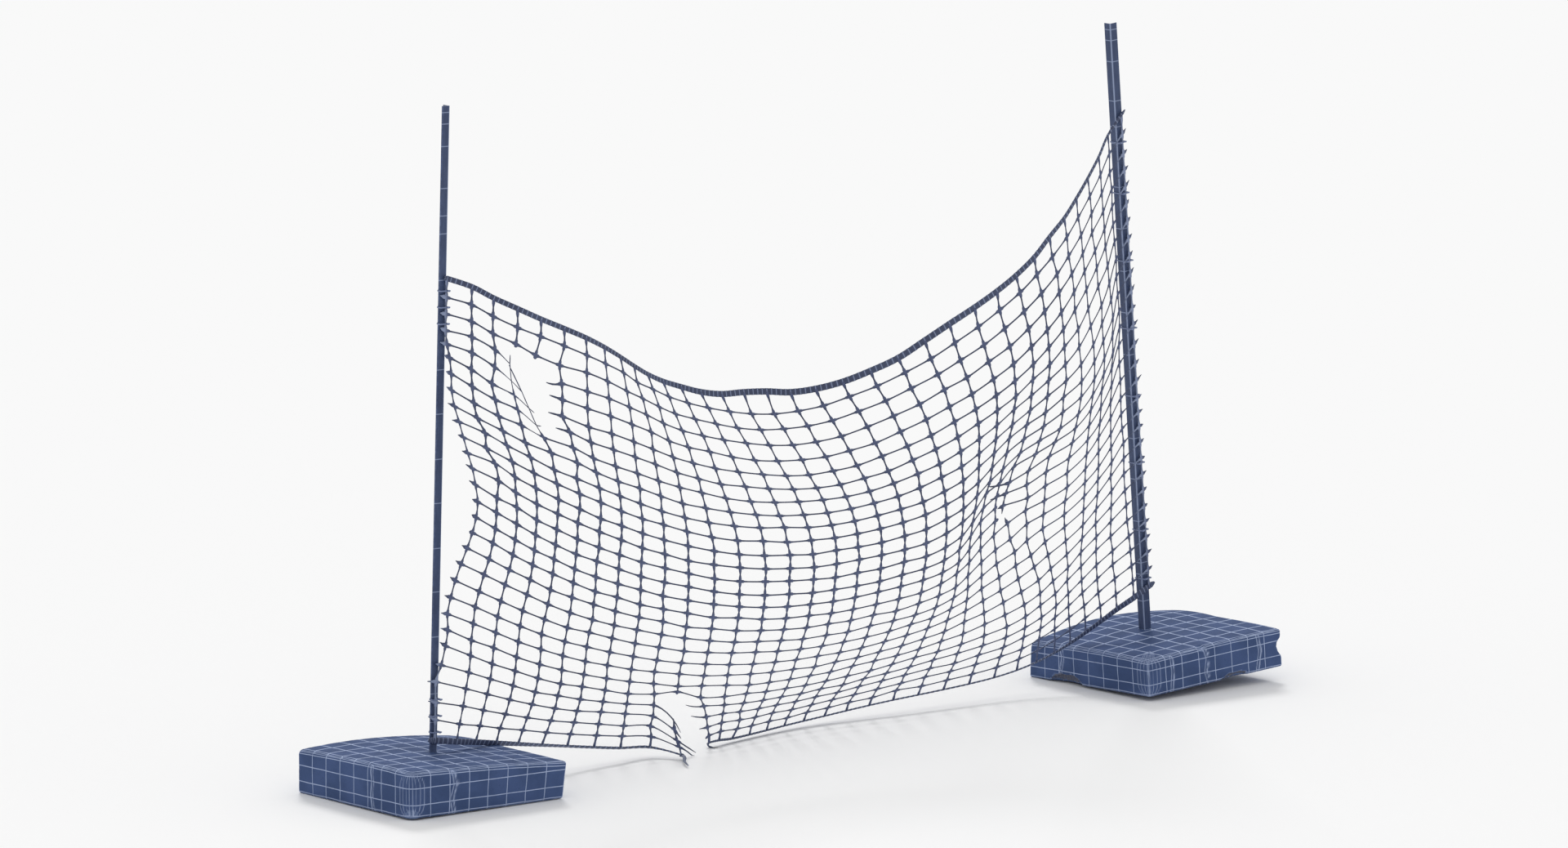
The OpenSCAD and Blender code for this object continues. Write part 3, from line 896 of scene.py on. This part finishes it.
# Each dent is its place, its size each way and its depth. Each crack is the axis that its side
# faces along, which way it faces, and the crack's points: the place along the side and the height
LEFT_DENTS = (
    ((-184, -184, 4), (20, 20, 14), 6),
    ((-187, -60, 84), (12, 16, 10), 2.5),
    ((-82, -187, 80), (14, 12, 10), 3),
    ((-60, -150, 90), (55, 30, 26), 1.0),
    ((60, -160, 82), (50, 26, 26), 1.0),
    ((187, -120, 30), (20, 30, 24), 3),
    ((40, 187, 20), (60, 18, 22), 4),
    ((187, 90, 60), (18, 34, 18), 4),
)
LEFT_CRACKS = (
    (0, -1, ((-58, 88), (-64, 58), (-60, 30), (-66, 0))),
    (1, -1, ((-86, 86), (-80, 56), (-88, 28), (-82, 0))),
    (0, 1, ((40, 76), (48, 36), (44, 0))),
)
RIGHT_DENTS = (
    ((190, -190, 44), (15, 15, 21), 13),
    ((-36, -187, 80), (13, 12, 10), 4.5),
    ((-187, 88, 80), (12, 14, 10), 3),
    ((40, -130, 86), (60, 36, 26), 1.0),
    ((30, 90, 86), (70, 44, 26), 1.0),
    ((187, 60, 20), (18, 44, 20), 5),
    ((-90, 187, 60), (40, 18, 22), 4),
)
RIGHT_CRACKS = (
    (0, -1, ((88, 81), (82, 52), (90, 24), (84, 0))),
    (1, -1, ((-124, 82), (-120, 44), (-126, 0))),
    (1, -1, ((-30, 82), (-22, 54), (-28, 26), (-20, 0))),
    (1, -1, ((122, 80), (128, 44), (118, 0))),
)
CRACK_REACH = 2.4
CRACK_DEPTH = 1.8
CRACK_GRIT = 0.8
# The pale line beside a crack: how far from it, and how wide
CRACK_LINE = (3.4, 1.1)
DENT_RIM = 1.15
DENT_LUMPS = 0.16
DENT_GRIT = 0.08
# Dents deeper than this are rubbed pale, by this much
WORN_DENT = 2.5
DENT_WEAR = 0.75

# Pieces broken out of the bottom edges: the middle of each and its half sizes
LEFT_BITES = (((-70, 190), (40, 20, 9)),)
RIGHT_BITES = (((-190, 72), (13, 50, 20)), ((52, -190), (36, 13, 12)))

# How far the rough casting stands up at a corner's foot and at its top, and out at its top
LEFT_LIFTS = {(-1, -1): (4, 9, 0), (1, -1): (1, 5, 7)}
RIGHT_LIFTS = {(-1, -1): (10, 8, 0), (1, 1): (-6, -15, 0), (-1, 1): (0, -5, -6)}
# The top's rounding gets smaller towards one corner
SHARP_SHARE = 0.6
SHARP_CORNER = (1, -1)
EDGE_LEAN = 0.28
EDGE_WEAR = 0.2
BACK_BULGE = 8
BESIDE_SHARE = 0.6
BITE_HEIGHT = 0.96
BITE_LUMPS = 0.25
# Wear that shows bare concrete
BARE = 2

# The rough casting's swells, lumps and grit: their sizes, depths and levels
BROAD_SIZE = 120
LUMP_SIZE = 26
GRIT_SIZE = 7
FRACTAL_FADE = 0.6
FRACTAL_STEP = 2.1
CASTING_DEPTHS = (0.3, 0.25, 0.08)
CASTING_LEVELS = (0.7, 0.7, 0.8)
EDGE_DEPTH = 0.5
EDGE_LEVELS = (0.3, 0.4)
# The foot stays flat, and the casting gets deeper above it
FOOT_HEIGHT = 0.5
FOOT_FADE = 6
FOOT_SHARE = 0.25

# Nested lines round the front corner: how far round it each goes, and their middle and reach
FAN_LINES = (5, 14, 25, 35)
FAN_MIDDLE = 43
FAN_REACH = 42
FAN_LINE = 0.7
FAN_PALE = 0.8
FAN_SHOWN = 60
# The front corner's closer lattice, and the least gap between two of its lines
FINE_SIDE = 38
FINE_GAP = 1.5
LEAST_GAP = 0.35
END_GAP = 0.1


def top_height(x, y, slope):
    """The crowned top's height, which falls towards +X by the slope."""
    crown = np.sqrt(CROWN_RADIUS ** 2 - x * x - y * y) - CROWN_RADIUS
    return BLOCK_HEIGHT + crown - x * math.tan(math.radians(slope))


def grid_lines(extra):
    """Closely spaced near the edges, the front corner and the cracks."""
    lines = list(HALF_SIDE * np.sin(np.linspace(-np.pi / 2, np.pi / 2, BLOCK_LINES + 1)))
    lines += list(np.arange(FINE_GAP - HALF_SIDE, FINE_SIDE - HALF_SIDE, FINE_GAP))
    for centre in extra:
        lines += [centre + step for step in FINE_STEPS if abs(centre + step) < HALF_SIDE]
    lines = sorted(lines)
    kept = [lines[0]]
    for x in lines[1:-1]:
        if x - kept[-1] > LEAST_GAP and lines[-1] - x > END_GAP:
            kept.append(x)
    return np.array(kept + [lines[-1]])


def box_grid(xs, ys, levels):
    """Vertices and quads of a closed box of lattice lines, heights as shares."""
    index, points, faces = {}, [], []
    nx, ny, nz = len(xs) - 1, len(ys) - 1, len(levels) - 1
    along_x, along_y, along_z = np.eye(3, dtype=int)

    def at(i, j, k):
        if (i, j, k) not in index:
            index[i, j, k] = len(points)
            points.append((xs[i], ys[j], levels[k]))
        return index[i, j, k]

    def quad(corner, one_way, other_way):
        steps = (0 * one_way, one_way, one_way + other_way, other_way)
        faces.append(tuple(at(*(corner + step)) for step in steps))

    for i in range(nx):
        for j in range(ny):
            quad((i, j, nz), along_x, along_y)
            quad((i, j, 0), along_y, along_x)
    for k in range(nz):
        for i in range(nx):
            quad((i, 0, k), along_x, along_z)
            quad((i, ny, k), along_z, along_x)
        for j in range(ny):
            quad((0, j, k), along_z, along_y)
            quad((nx, j, k), along_y, along_z)
    return np.array(points), faces


def rounded(a, b):
    """Takes a square corner's points, a and b from its centre, onto circles round it."""
    reach = np.maximum(np.abs(a), np.abs(b))
    length = np.hypot(a, b)
    scale = np.where(length > 0, reach / np.maximum(length, TINY), 1.0)
    return a * scale, b * scale


def corner_share(points, corner):
    """How near each point is to one upright corner, 0 to 1."""
    x = 1 + corner[0] * points[:, 0] / HALF_SIDE
    y = 1 + corner[1] * points[:, 1] / HALF_SIDE
    return (x * y / 4).clip(0, 1)


def lifted(points, lifts):
    """Each corner's foot and top go up or down, and its top outwards, by amounts of its own."""
    result = points.copy()
    up = np.clip(points[:, 2] / BLOCK_HEIGHT, 0, 1)
    x, y = (points[:, :2] / HALF_SIDE).clip(-1, 1).T
    behind = (1 - x * x) * (0.5 + 0.5 * y) ** 2
    beside = BESIDE_SHARE * np.sin(np.pi * y.clip(0)) * (0.5 + 0.5 * x) ** 2
    result[:, 2] += BACK_BULGE * (behind + beside) * up
    for corner, (foot, top, out) in lifts.items():
        share = corner_share(points, corner) ** (3 if top < 0 else 1)
        result[:, 2] += share * (foot + (top - foot) * up)
        result[:, 0] += corner[0] * share * out * up
        result[:, 1] += corner[1] * share * out * up
    return result


def bitten(points, wear, bites, lumps):
    """What lies below each bite's bowl goes up to it, and wears as bare concrete."""
    for centre, (x, y, z) in bites:
        away = (((points[:, :2] - np.array(centre)) / (x, y)) ** 2).sum(axis=1)
        ceiling = z * np.sqrt(np.clip(1 - away, 0, 1)) * (1 + BITE_LUMPS * lumps)
        low = (points[:, 2] < ceiling) & (ceiling > 0)
        wear[low] = BARE
        points[low, 2] = BITE_HEIGHT * ceiling[low] + (1 - BITE_HEIGHT) * points[low, 2]


def fan(points):
    """Strength of the nested lines round the front corner."""
    around = np.abs(points[:, 0] - points[:, 1])
    height = (points[:, 2] - FAN_MIDDLE) / FAN_REACH
    narrowing = np.sqrt(np.clip(1 - height ** 4, 0, 1))
    lines = [np.exp(-((around - reach * narrowing) / FAN_LINE) ** 2) for reach in FAN_LINES]
    near = np.maximum(points[:, 0], points[:, 1]) < FAN_SHOWN - HALF_SIDE
    return FAN_PALE * np.max(lines, axis=0) * (near & (np.abs(height) < 1))


def round_block(points, slope, front_corner):
    """Rounds the box's upright corners, top edges and bottom edges, and measures from the rim."""
    x, y = points[:, 0].copy(), points[:, 1].copy()
    inner = HALF_SIDE - np.where((x < 0) & (y < 0), front_corner, BLOCK_CORNER)
    inset = HALF_SIDE - np.maximum(np.abs(x), np.abs(y))
    corner = (np.abs(x) > inner) & (np.abs(y) > inner)
    a, b = rounded(np.abs(x) - inner, np.abs(y) - inner)
    outward = np.zeros((len(x), 2))
    side_x = np.abs(x) >= np.abs(y)
    outward[side_x, 0] = np.sign(x[side_x])
    outward[~side_x, 1] = np.sign(y[~side_x])
    length = np.maximum(np.hypot(a, b), TINY)
    outward[corner, 0] = (np.sign(x) * a / length)[corner]
    outward[corner, 1] = (np.sign(y) * b / length)[corner]
    x = np.where(corner, np.sign(x) * (inner + a), x)
    y = np.where(corner, np.sign(y) * (inner + b), y)
    top = top_height(x, y, slope)
    z = points[:, 2] * top
    rim = np.maximum(top - z, inset)
    top_round = TOP_ROUND * (1 - SHARP_SHARE * corner_share(points, SHARP_CORNER) ** 2)
    for radius, centre, up in ((top_round, top - top_round, 1), (BOTTOM_ROUND, BOTTOM_ROUND, -1)):
        high = (z - centre) * up
        edge = (inset < radius) & (high > 0)
        a, b = rounded(radius - inset, high)
        x = np.where(edge, x - outward[:, 0] * (radius - inset - a), x)
        y = np.where(edge, y - outward[:, 1] * (radius - inset - a), y)
        z = np.where(edge, centre + up * b, z)
    return np.stack([x, y, z], axis=1), rim


def face_normals(points, faces):
    """Each point's normal, from the quads round it."""
    quads = np.array(faces)
    normal = np.cross(points[quads[:, 2]] - points[quads[:, 0]],
                      points[quads[:, 3]] - points[quads[:, 1]])
    total = np.zeros_like(points)
    for k in range(4):
        np.add.at(total, quads[:, k], normal)
    return total / np.maximum(np.linalg.norm(total, axis=1), TINY)[:, None]


def segment_distance(points, a, b):
    """Each point's distance from a straight line between two others."""
    t = np.clip((points - a) @ (b - a) / ((b - a) @ (b - a)), 0, 1)
    return np.linalg.norm(points - a - t[:, None] * (b - a), axis=1)


def rough(points, size, seed, octaves=3):
    """Fractal noise about 0, between about -1 and 1."""
    return np.array([
        noise.fractal(Vector(p) / size + Vector((seed, 0, 0)), FRACTAL_FADE, FRACTAL_STEP, octaves)
        for p in points])


def casting(normals, broad, lumps, grit):
    """How deep the rough casting lies under the clean form, and how much of an edge it is."""
    deep, level = CASTING_DEPTHS, CASTING_LEVELS
    depth = deep[0] * (broad + level[0]).clip(0) + deep[1] * (lumps + level[1]).clip(0)
    depth = depth + deep[2] * (grit + level[2])
    # Edges are where a vertex's normal leans between two faces
    edge = np.clip((1 - np.abs(normals).max(axis=1)) / EDGE_LEAN, 0, 1)
    lumps_level, grit_level = EDGE_LEVELS
    rubbed_off = EDGE_DEPTH * (lumps + lumps_level).clip(0) + EDGE_DEPTH * (grit + grit_level).clip(0)
    return depth + edge * rubbed_off, edge


def dented(points, dents, depth, wear, lumps, grit):
    """The dents' depth and pale wear, added to what is there."""
    for centre, size, deep in dents:
        away = np.linalg.norm((points - np.array(centre)) / np.array(size), axis=1)
        away = away + DENT_LUMPS * lumps + DENT_GRIT * grit
        dent = eased(DENT_RIM - away)
        depth = depth + deep * dent
        if deep > WORN_DENT:
            wear = np.maximum(wear, DENT_WEAR * np.clip(dent * 3, 0, 1))
    return depth, wear


def cracked(points, cracks, depth, grit):
    """The cracks' depth, added to what is there, and the pale line beside each."""
    line = np.zeros(len(points))
    beside, width = CRACK_LINE
    for axis, facing, crack in cracks:
        route = np.insert(np.array(crack, float), axis, facing * HALF_SIDE, axis=1)
        away = np.min([segment_distance(points, a, b) for a, b in zip(route, route[1:])], axis=0)
        depth = depth + CRACK_DEPTH * np.exp(-((away + CRACK_GRIT * grit) / CRACK_REACH) ** 2)
        line = np.maximum(line, np.exp(-((away - beside) / width) ** 2))
    return depth, line


def block(name, place, slope, front_corner, dents, cracks, bites, lifts, seed):
    """A cast block: a clean form, worn down along its normals, bitten and warped."""
    xs, ys = (
        grid_lines([crack[0][0] for axis, _, crack in cracks if axis == across])
        for across in (1, 0))
    levels = 0.5 + 0.5 * np.sin(np.linspace(-np.pi / 2, np.pi / 2, BLOCK_LEVELS + 1))
    points, faces = box_grid(xs, ys, levels)
    points, rim = round_block(points, slope, front_corner)
    normals = face_normals(points, faces)
    broad = rough(points, BROAD_SIZE, seed, 2)
    lumps = rough(points, LUMP_SIZE, seed + 7)
    grit = rough(points, GRIT_SIZE, seed + 13, 2)
    depth, edge = casting(normals, broad, lumps, grit)
    depth, wear = dented(points, dents, depth, edge * EDGE_WEAR, lumps, grit)
    depth, line = cracked(points, cracks, depth, grit)
    foot = points[:, 2] < FOOT_HEIGHT
    depth[foot] = 0
    depth = depth * np.clip(points[:, 2] / FOOT_FADE, FOOT_SHARE, 1)
    shifted = points - normals * depth[:, None]
    shifted[foot, 2] = 0
    bitten(shifted, wear, bites, lumps)
    shape = Shape()
    shape.add(moved(lifted(shifted, lifts), place), faces, places=points, wear=wear,
              line=np.maximum(line, fan(points)))
    obj = shape.finish(name, BLOCK_LOOK)
    obj.data.attributes.new("rim", "FLOAT", "POINT").data.foreach_set("value", rim * MM)
    return obj


# ---- the posts and their sockets ----

POST_RINGS = (66, 124, 149, 239, 330, 418, 509, 598, 689, 778, 869, 958, 1051, 1087, 1142,
              1226, 1271, 1294)
RING_HALF = 1.3
CORNER_STEPS = 3
TOE_INNER = 0.9
TOE_OUTER = 1.0
HEEL_ROUND = 2.0
COLLAR = 1.6
END_COLLARS = (1, 0.2)
SOCKET_SHARP = 50
POST_SHARP = 35
# Scuffs along the edges and the painted highlight down the worn heel: how strong, and how far they reach
SCUFF = (1.3, 2.2)
HEEL_HIGHLIGHT = (1.7, 1.4)


def arms(outline, k):
    """A corner of an outline, and the directions to the corners before and after it."""
    here = np.array(outline[k], float)
    before = np.array(outline[k - 1], float)
    after = np.array(outline[(k + 1) % len(outline)], float)
    return here, unit(before - here), unit(after - here)


def angle_outline(grow=0.0):
    """An equal angle's section with its heel at +X -Y and rounded corners."""
    outer = ANGLE_SIDE / 2 + grow
    inner = ANGLE_SIDE / 2 - ANGLE_WALL - grow
    corners = ((-outer, -outer), (outer, -outer), (outer, outer),
               (inner, outer), (inner, -inner), (-outer, -inner))
    rounds = (TOE_OUTER, HEEL_ROUND, TOE_OUTER, TOE_INNER, ANGLE_ROOT - grow, TOE_INNER)
    outline = []
    for k, radius in enumerate(rounds):
        here, before, after = arms(corners, k)
        centre = here + (before + after) * radius
        a0 = math.atan2(*(here + before * radius - centre)[::-1])
        a1 = math.atan2(*(here + after * radius - centre)[::-1])
        turn = (a1 - a0 + math.pi) % (2 * math.pi) - math.pi
        for step in range(CORNER_STEPS + 1):
            angle = a0 + turn * step / CORNER_STEPS
            outline.append(centre + radius * np.array((math.cos(angle), math.sin(angle))))
    return np.array(outline)


def collared(outline):
    """Adds a point near both ends of an outline's long straight parts."""
    points = []
    for a, b in zip(outline, np.roll(outline, -1, axis=0)):
        points.append(a)
        if np.linalg.norm(b - a) > 3 * COLLAR:
            points += [a + unit(b - a) * COLLAR, b - unit(b - a) * COLLAR]
    return np.array(points)


def prism(outline, heights, place, wear=None, line=None):
    """Stacks an outline at each height, in a place."""
    rings = [np.column_stack([outline, np.full(len(outline), z)]) for z in heights]
    local = np.vstack(rings)
    shape = Shape()
    shape.add(moved(local, place), ring_faces(len(heights), len(outline)), places=local,
              wear=None if wear is None else np.tile(wear, len(heights)), line=line)
    return shape


def cut_socket(target, place):
    """Cuts the angle-shaped socket into a block."""
    tool = prism(angle_outline(SOCKET_GAP), (-SOCKET_DEPTH, BLOCK_HEIGHT), place)
    cutter = tool.finish("socket_cutter", POST_LOOK)
    change = target.modifiers.new("socket", "BOOLEAN")
    change.operation = "DIFFERENCE"
    change.solver = "EXACT"
    change.object = cutter
    graph = bpy.context.evaluated_depsgraph_get()
    mesh = bpy.data.meshes.new_from_object(target.evaluated_get(graph))
    target.modifiers.clear()
    old = target.data
    target.data = mesh
    mesh.name = target.name
    bpy.data.meshes.remove(old)
    bpy.data.objects.remove(cutter)
    mesh.set_sharp_from_angle(angle=math.radians(SOCKET_SHARP))


def fading(outline, corners, strength, reach):
    """Strength at the nearest of some corners, fading over a reach."""
    away = [np.hypot(outline[:, 0] - x, outline[:, 1] - y) for x, y in corners]
    return np.clip(strength - np.minimum.reduce(away) / reach, 0, 1)


def post(name, place):
    """An angle-iron post, scuffed along its edges, with pale rings and a painted highlight down its worn
    heel.
    """
    outline = collared(angle_outline())
    half = ANGLE_SIDE / 2
    heel = (half, -half)
    toes = ((-half, -half), (half, half), (-half, ANGLE_WALL - half), (half - ANGLE_WALL, half))
    bottom, top = SOCKET_FLOOR - SOCKET_DEPTH, POST_HEIGHT
    bottom_collar, top_collar = END_COLLARS
    heights = [(bottom, 0), (bottom + bottom_collar, 0), (top - top_collar, 0), (top, 0)]
    for ring in POST_RINGS:
        heights += [(ring - RING_HALF, 0), (ring, 1), (ring + RING_HALF, 0)]
    heights.sort()
    # Painted highlight down the worn heel edge, carried with the pale rings in the line attribute
    pale = fading(outline, (heel,), *HEEL_HIGHLIGHT)
    line = np.maximum.outer([amount for _, amount in heights], pale).ravel()
    shape = prism(outline, [z for z, _ in heights], place, fading(outline, (heel, *toes), *SCUFF), line)
    return shape.finish(name, POST_LOOK, POST_SHARP)


# ---- the ties ----

TIE_HEAD = (5, 3.4, 4)
TIE_HEAD_ROUND = 0.8
TIE_TAIL = 2.4
TIE_TAIL_ROUND = 0.4
# How far the head sits into the strap, and the tail into the head
TIE_LAPS = (0.05, 0.2)
TIE_BEND = 1.6
TIE_WEAR = 0.5
TIE_SHARP = 40
# The strap's section, upper half first, as shares of its depth and width
TIE_SECTION = ((0.5, 0.42), (0.42, 0.5), (-0.42, 0.5), (-0.5, 0.42),
               (-0.5, -0.42), (-0.42, -0.5), (0.42, -0.5), (0.5, -0.42))
# A moulded box's outlines: places as shares of the half depth, and insets as shares of the round
BOX_RINGS = ((-1, 0.6), (-0.8, 0.15), (-0.6, 0), (0.6, 0), (0.8, 0.15), (1, 0.6))


def strap_path(front):
    """Once round the post's section and the net in front of it, with bent corners."""
    reach = ANGLE_SIDE / 2 + TIE_GAP + TIE_DEPTH / 2
    slant = ANGLE_WALL + TIE_DEPTH / 2 + TIE_GAP
    corners = ((-reach, -front), (reach, -front), (reach, reach),
               (reach - slant, reach), (-reach, slant - reach))
    path = []
    for k in range(len(corners)):
        here, before, after = arms(corners, k)
        for t in (0.0, 0.25, 0.5, 0.75, 1.0):
            path.append((1 - t) ** 2 * (here + before * TIE_BEND) + 2 * t * (1 - t) * here
                        + t * t * (here + after * TIE_BEND))
    return np.array(path)


def tie(name, place):
    """A strap round a post and the net's edge strand, with its head and cut tail in front."""
    front = STRAND_DEPTH / 2 + STRAND_GAP - NET_FRONT + TIE_DEPTH / 2
    path = strap_path(front)
    forward = unit_rows(np.roll(path, -1, axis=0) - np.roll(path, 1, axis=0))
    side = np.column_stack([forward[:, 1], -forward[:, 0]])
    strap = np.array([
        (*(path[k] + side[k] * a * TIE_DEPTH), b * TIE_WIDTH)
        for k in range(len(path)) for a, b in TIE_SECTION])
    half_section = len(TIE_SECTION) // 2
    shape = Shape()
    shape.add(moved(strap, place), ring_faces(len(path), len(TIE_SECTION), True), places=strap,
              wear=np.tile([TIE_WEAR] * half_section + [0] * half_section, len(path)))
    into_strap, into_head = TIE_LAPS
    head_y = -front - TIE_DEPTH / 2 - TIE_HEAD[1] / 2 + into_strap
    head_x = ANGLE_SIDE / 2 - TIE_HEAD[0] / 2
    add_rounded_box(shape, (head_x, head_y, 0), TIE_HEAD, TIE_HEAD_ROUND, place)
    tail_x = ANGLE_SIDE / 2 + TIE_TAIL / 2 - into_head
    add_rounded_box(shape, (tail_x, head_y, 0), (TIE_TAIL, TIE_DEPTH, TIE_WIDTH), TIE_TAIL_ROUND, place)
    return shape.finish(name, TIE_LOOK, TIE_SHARP)


def add_rounded_box(shape, centre, size, radius, place):
    """A small moulded box with rounded edges, as stacked rounded outlines."""
    half = np.array(size) / 2
    outline = []
    for cx, cz, start in ((1, 1, 0), (-1, 1, 90), (-1, -1, 180), (1, -1, 270)):
        for step in range(4):
            angle = math.radians(start + 30 * step)
            outline.append((cx * (half[0] - radius) + radius * math.cos(angle),
                            cz * (half[2] - radius) + radius * math.sin(angle)))
    rings = []
    for depth, inset in BOX_RINGS:
        ring = np.array(outline) * (1 - inset * radius / half[[0, 2]])
        rings.append(np.column_stack([ring[:, 0], np.full(len(ring), depth * half[1]), ring[:, 1]]))
    local = np.vstack(rings) + np.array(centre)
    faces = [tuple(reversed(face)) for face in ring_faces(len(rings), len(outline))]
    shape.add(moved(local, place), faces, places=local, wear=np.full(len(local), TIE_WEAR))


# ---- building and joining to the frame ----


def join(piece, body, node):
    """Joins a piece to the frame: its body and the CAD node that it replaces."""
    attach(piece, body)
    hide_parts(node)


def build():
    """Makes every piece and joins it to the frame."""
    left = block(
        "left_block", LEFT_BLOCK, slope=LEFT_TOP_SLOPE, front_corner=20, dents=LEFT_DENTS,
        cracks=LEFT_CRACKS, bites=LEFT_BITES, lifts=LEFT_LIFTS, seed=3)
    right = block(
        "right_block", RIGHT_BLOCK, slope=0, front_corner=8, dents=RIGHT_DENTS,
        cracks=RIGHT_CRACKS, bites=RIGHT_BITES, lifts=RIGHT_LIFTS, seed=31)
    cut_socket(left, LEFT_POST)
    cut_socket(right, RIGHT_POST @ MIRROR_X)
    join(left, "stand", "left_base")
    join(right, "stand", "right_base")
    join(post("left_pole", LEFT_POST), "left_pole", "left_post")
    join(post("right_pole", RIGHT_POST @ MIRROR_X), "right_pole", "right_post")
    join(mesh_panel(), "stand", "net")
    for piece, node in zip(bands(), ("top_band", "bottom_band_left", "bottom_band_right")):
        join(piece, "stand", node)
    for side, rows, post_place, ends, turn in (
        ("left", LEFT_TIE_ROWS, LEFT_POST, (LEFT_TOP, LEFT_BOTTOM), Matrix.Identity(4)),
        ("right", RIGHT_TIE_ROWS, RIGHT_POST, (RIGHT_TOP, RIGHT_BOTTOM), MIRROR_X),
    ):
        for k, row in enumerate(rows, 1):
            height = ends[0][2] + (ends[1][2] - ends[0][2]) * row / ROWS
            place = post_place @ Matrix.Translation((0, 0, height)) @ turn
            join(tie(f"{side}_cable_tie_{k}", place), "stand", f"{side}_tie_{k}")


def fix_mirrored_faces():
    """A mirrored place turns faces inside out, so each closed mesh is made to face out."""
    for obj in bpy.data.objects:
        if obj.type != "MESH" or obj.name in frame["nodes"]:
            continue
        mesh = obj.data
        mesh.calc_loop_triangles()
        tris = np.zeros(len(mesh.loop_triangles) * 3, int)
        mesh.loop_triangles.foreach_get("vertices", tris)
        points = np.zeros(len(mesh.vertices) * 3)
        mesh.vertices.foreach_get("co", points)
        corners = points.reshape(-1, 3)[tris.reshape(-1, 3)]
        a, b, c = (corners - corners.mean(axis=(0, 1))).transpose(1, 0, 2)
        if (a * np.cross(b, c)).sum() < 0:
            mesh.flip_normals()


# ---- camera, floor and light ----

CAMERA_PLACE = (-14.0585, -17.581, 4.455)
CAMERA_AZIMUTH = -40.451
CAMERA_ELEVATION = 9.339
CAMERA_LENS = 262.5
FLOOR_HALF = 60
FLOOR_LEVEL = -0.0004
FLOOR_TONE = 0.93
SKY_LEVEL = 0.77
SUN_LEVEL = 1.25
SUN_FROM = (0.55, 0.76, 0.75)
SUN_SOFTNESS = 16


def camera():
    """The photo's camera."""
    data = bpy.data.cameras.new("camera")
    data.sensor_width = 36
    data.sensor_fit = "HORIZONTAL"
    data.lens = CAMERA_LENS
    data.clip_end = 200
    obj = placed("camera", data)
    obj.location = CAMERA_PLACE
    obj.rotation_euler = (math.radians(90 - CAMERA_ELEVATION), 0, math.radians(CAMERA_AZIMUTH))
    bpy.context.scene.camera = obj


def floor():
    """A wide pale studio floor."""
    mesh = bpy.data.meshes.new("floor")
    h, z = FLOOR_HALF, FLOOR_LEVEL
    corners = [(-h, -h, z), (h, -h, z), (h, h, z), (-h, h, z)]
    mesh.from_pydata(corners, [], [(0, 1, 2, 3)])
    n = Nodes("floor")
    n.shader.inputs["Base Color"].default_value = (FLOOR_TONE, FLOOR_TONE, FLOOR_TONE, 1)
    n.shader.inputs["Roughness"].default_value = 1.0
    n.shader.inputs["Specular IOR Level"].default_value = 0.0
    mesh.materials.append(n.material)
    placed("floor", mesh)


def light():
    """An even pale sky, seen as the floor's tone, and a soft sun from behind."""
    world = bpy.data.worlds.new("studio")
    world.use_nodes = True
    tree = world.node_tree
    sky = tree.nodes["Background"]
    sky.inputs["Color"].default_value = (1, 1, 1, 1)
    sky.inputs["Strength"].default_value = SKY_LEVEL
    bpy.context.scene.world = world
    seen = tree.nodes.new("ShaderNodeBackground")
    seen.inputs["Color"].default_value = (FLOOR_TONE, FLOOR_TONE, FLOOR_TONE, 1)
    rays = tree.nodes.new("ShaderNodeLightPath")
    mix = tree.nodes.new("ShaderNodeMixShader")
    tree.links.new(rays.outputs["Is Camera Ray"], mix.inputs["Fac"])
    tree.links.new(sky.outputs["Background"], mix.inputs[1])
    tree.links.new(seen.outputs["Background"], mix.inputs[2])
    tree.links.new(mix.outputs["Shader"], tree.nodes["World Output"].inputs["Surface"])
    lamp = bpy.data.lights.new("sun", "SUN")
    lamp.energy = SUN_LEVEL
    lamp.angle = math.radians(SUN_SOFTNESS)
    sun = placed("sun", lamp)
    sun.rotation_euler = Vector(SUN_FROM).to_track_quat("Z", "Y").to_euler()


camera()
floor()
light()
build()
fix_mirrored_faces()
bpy.context.scene.view_settings.view_transform = "Standard"
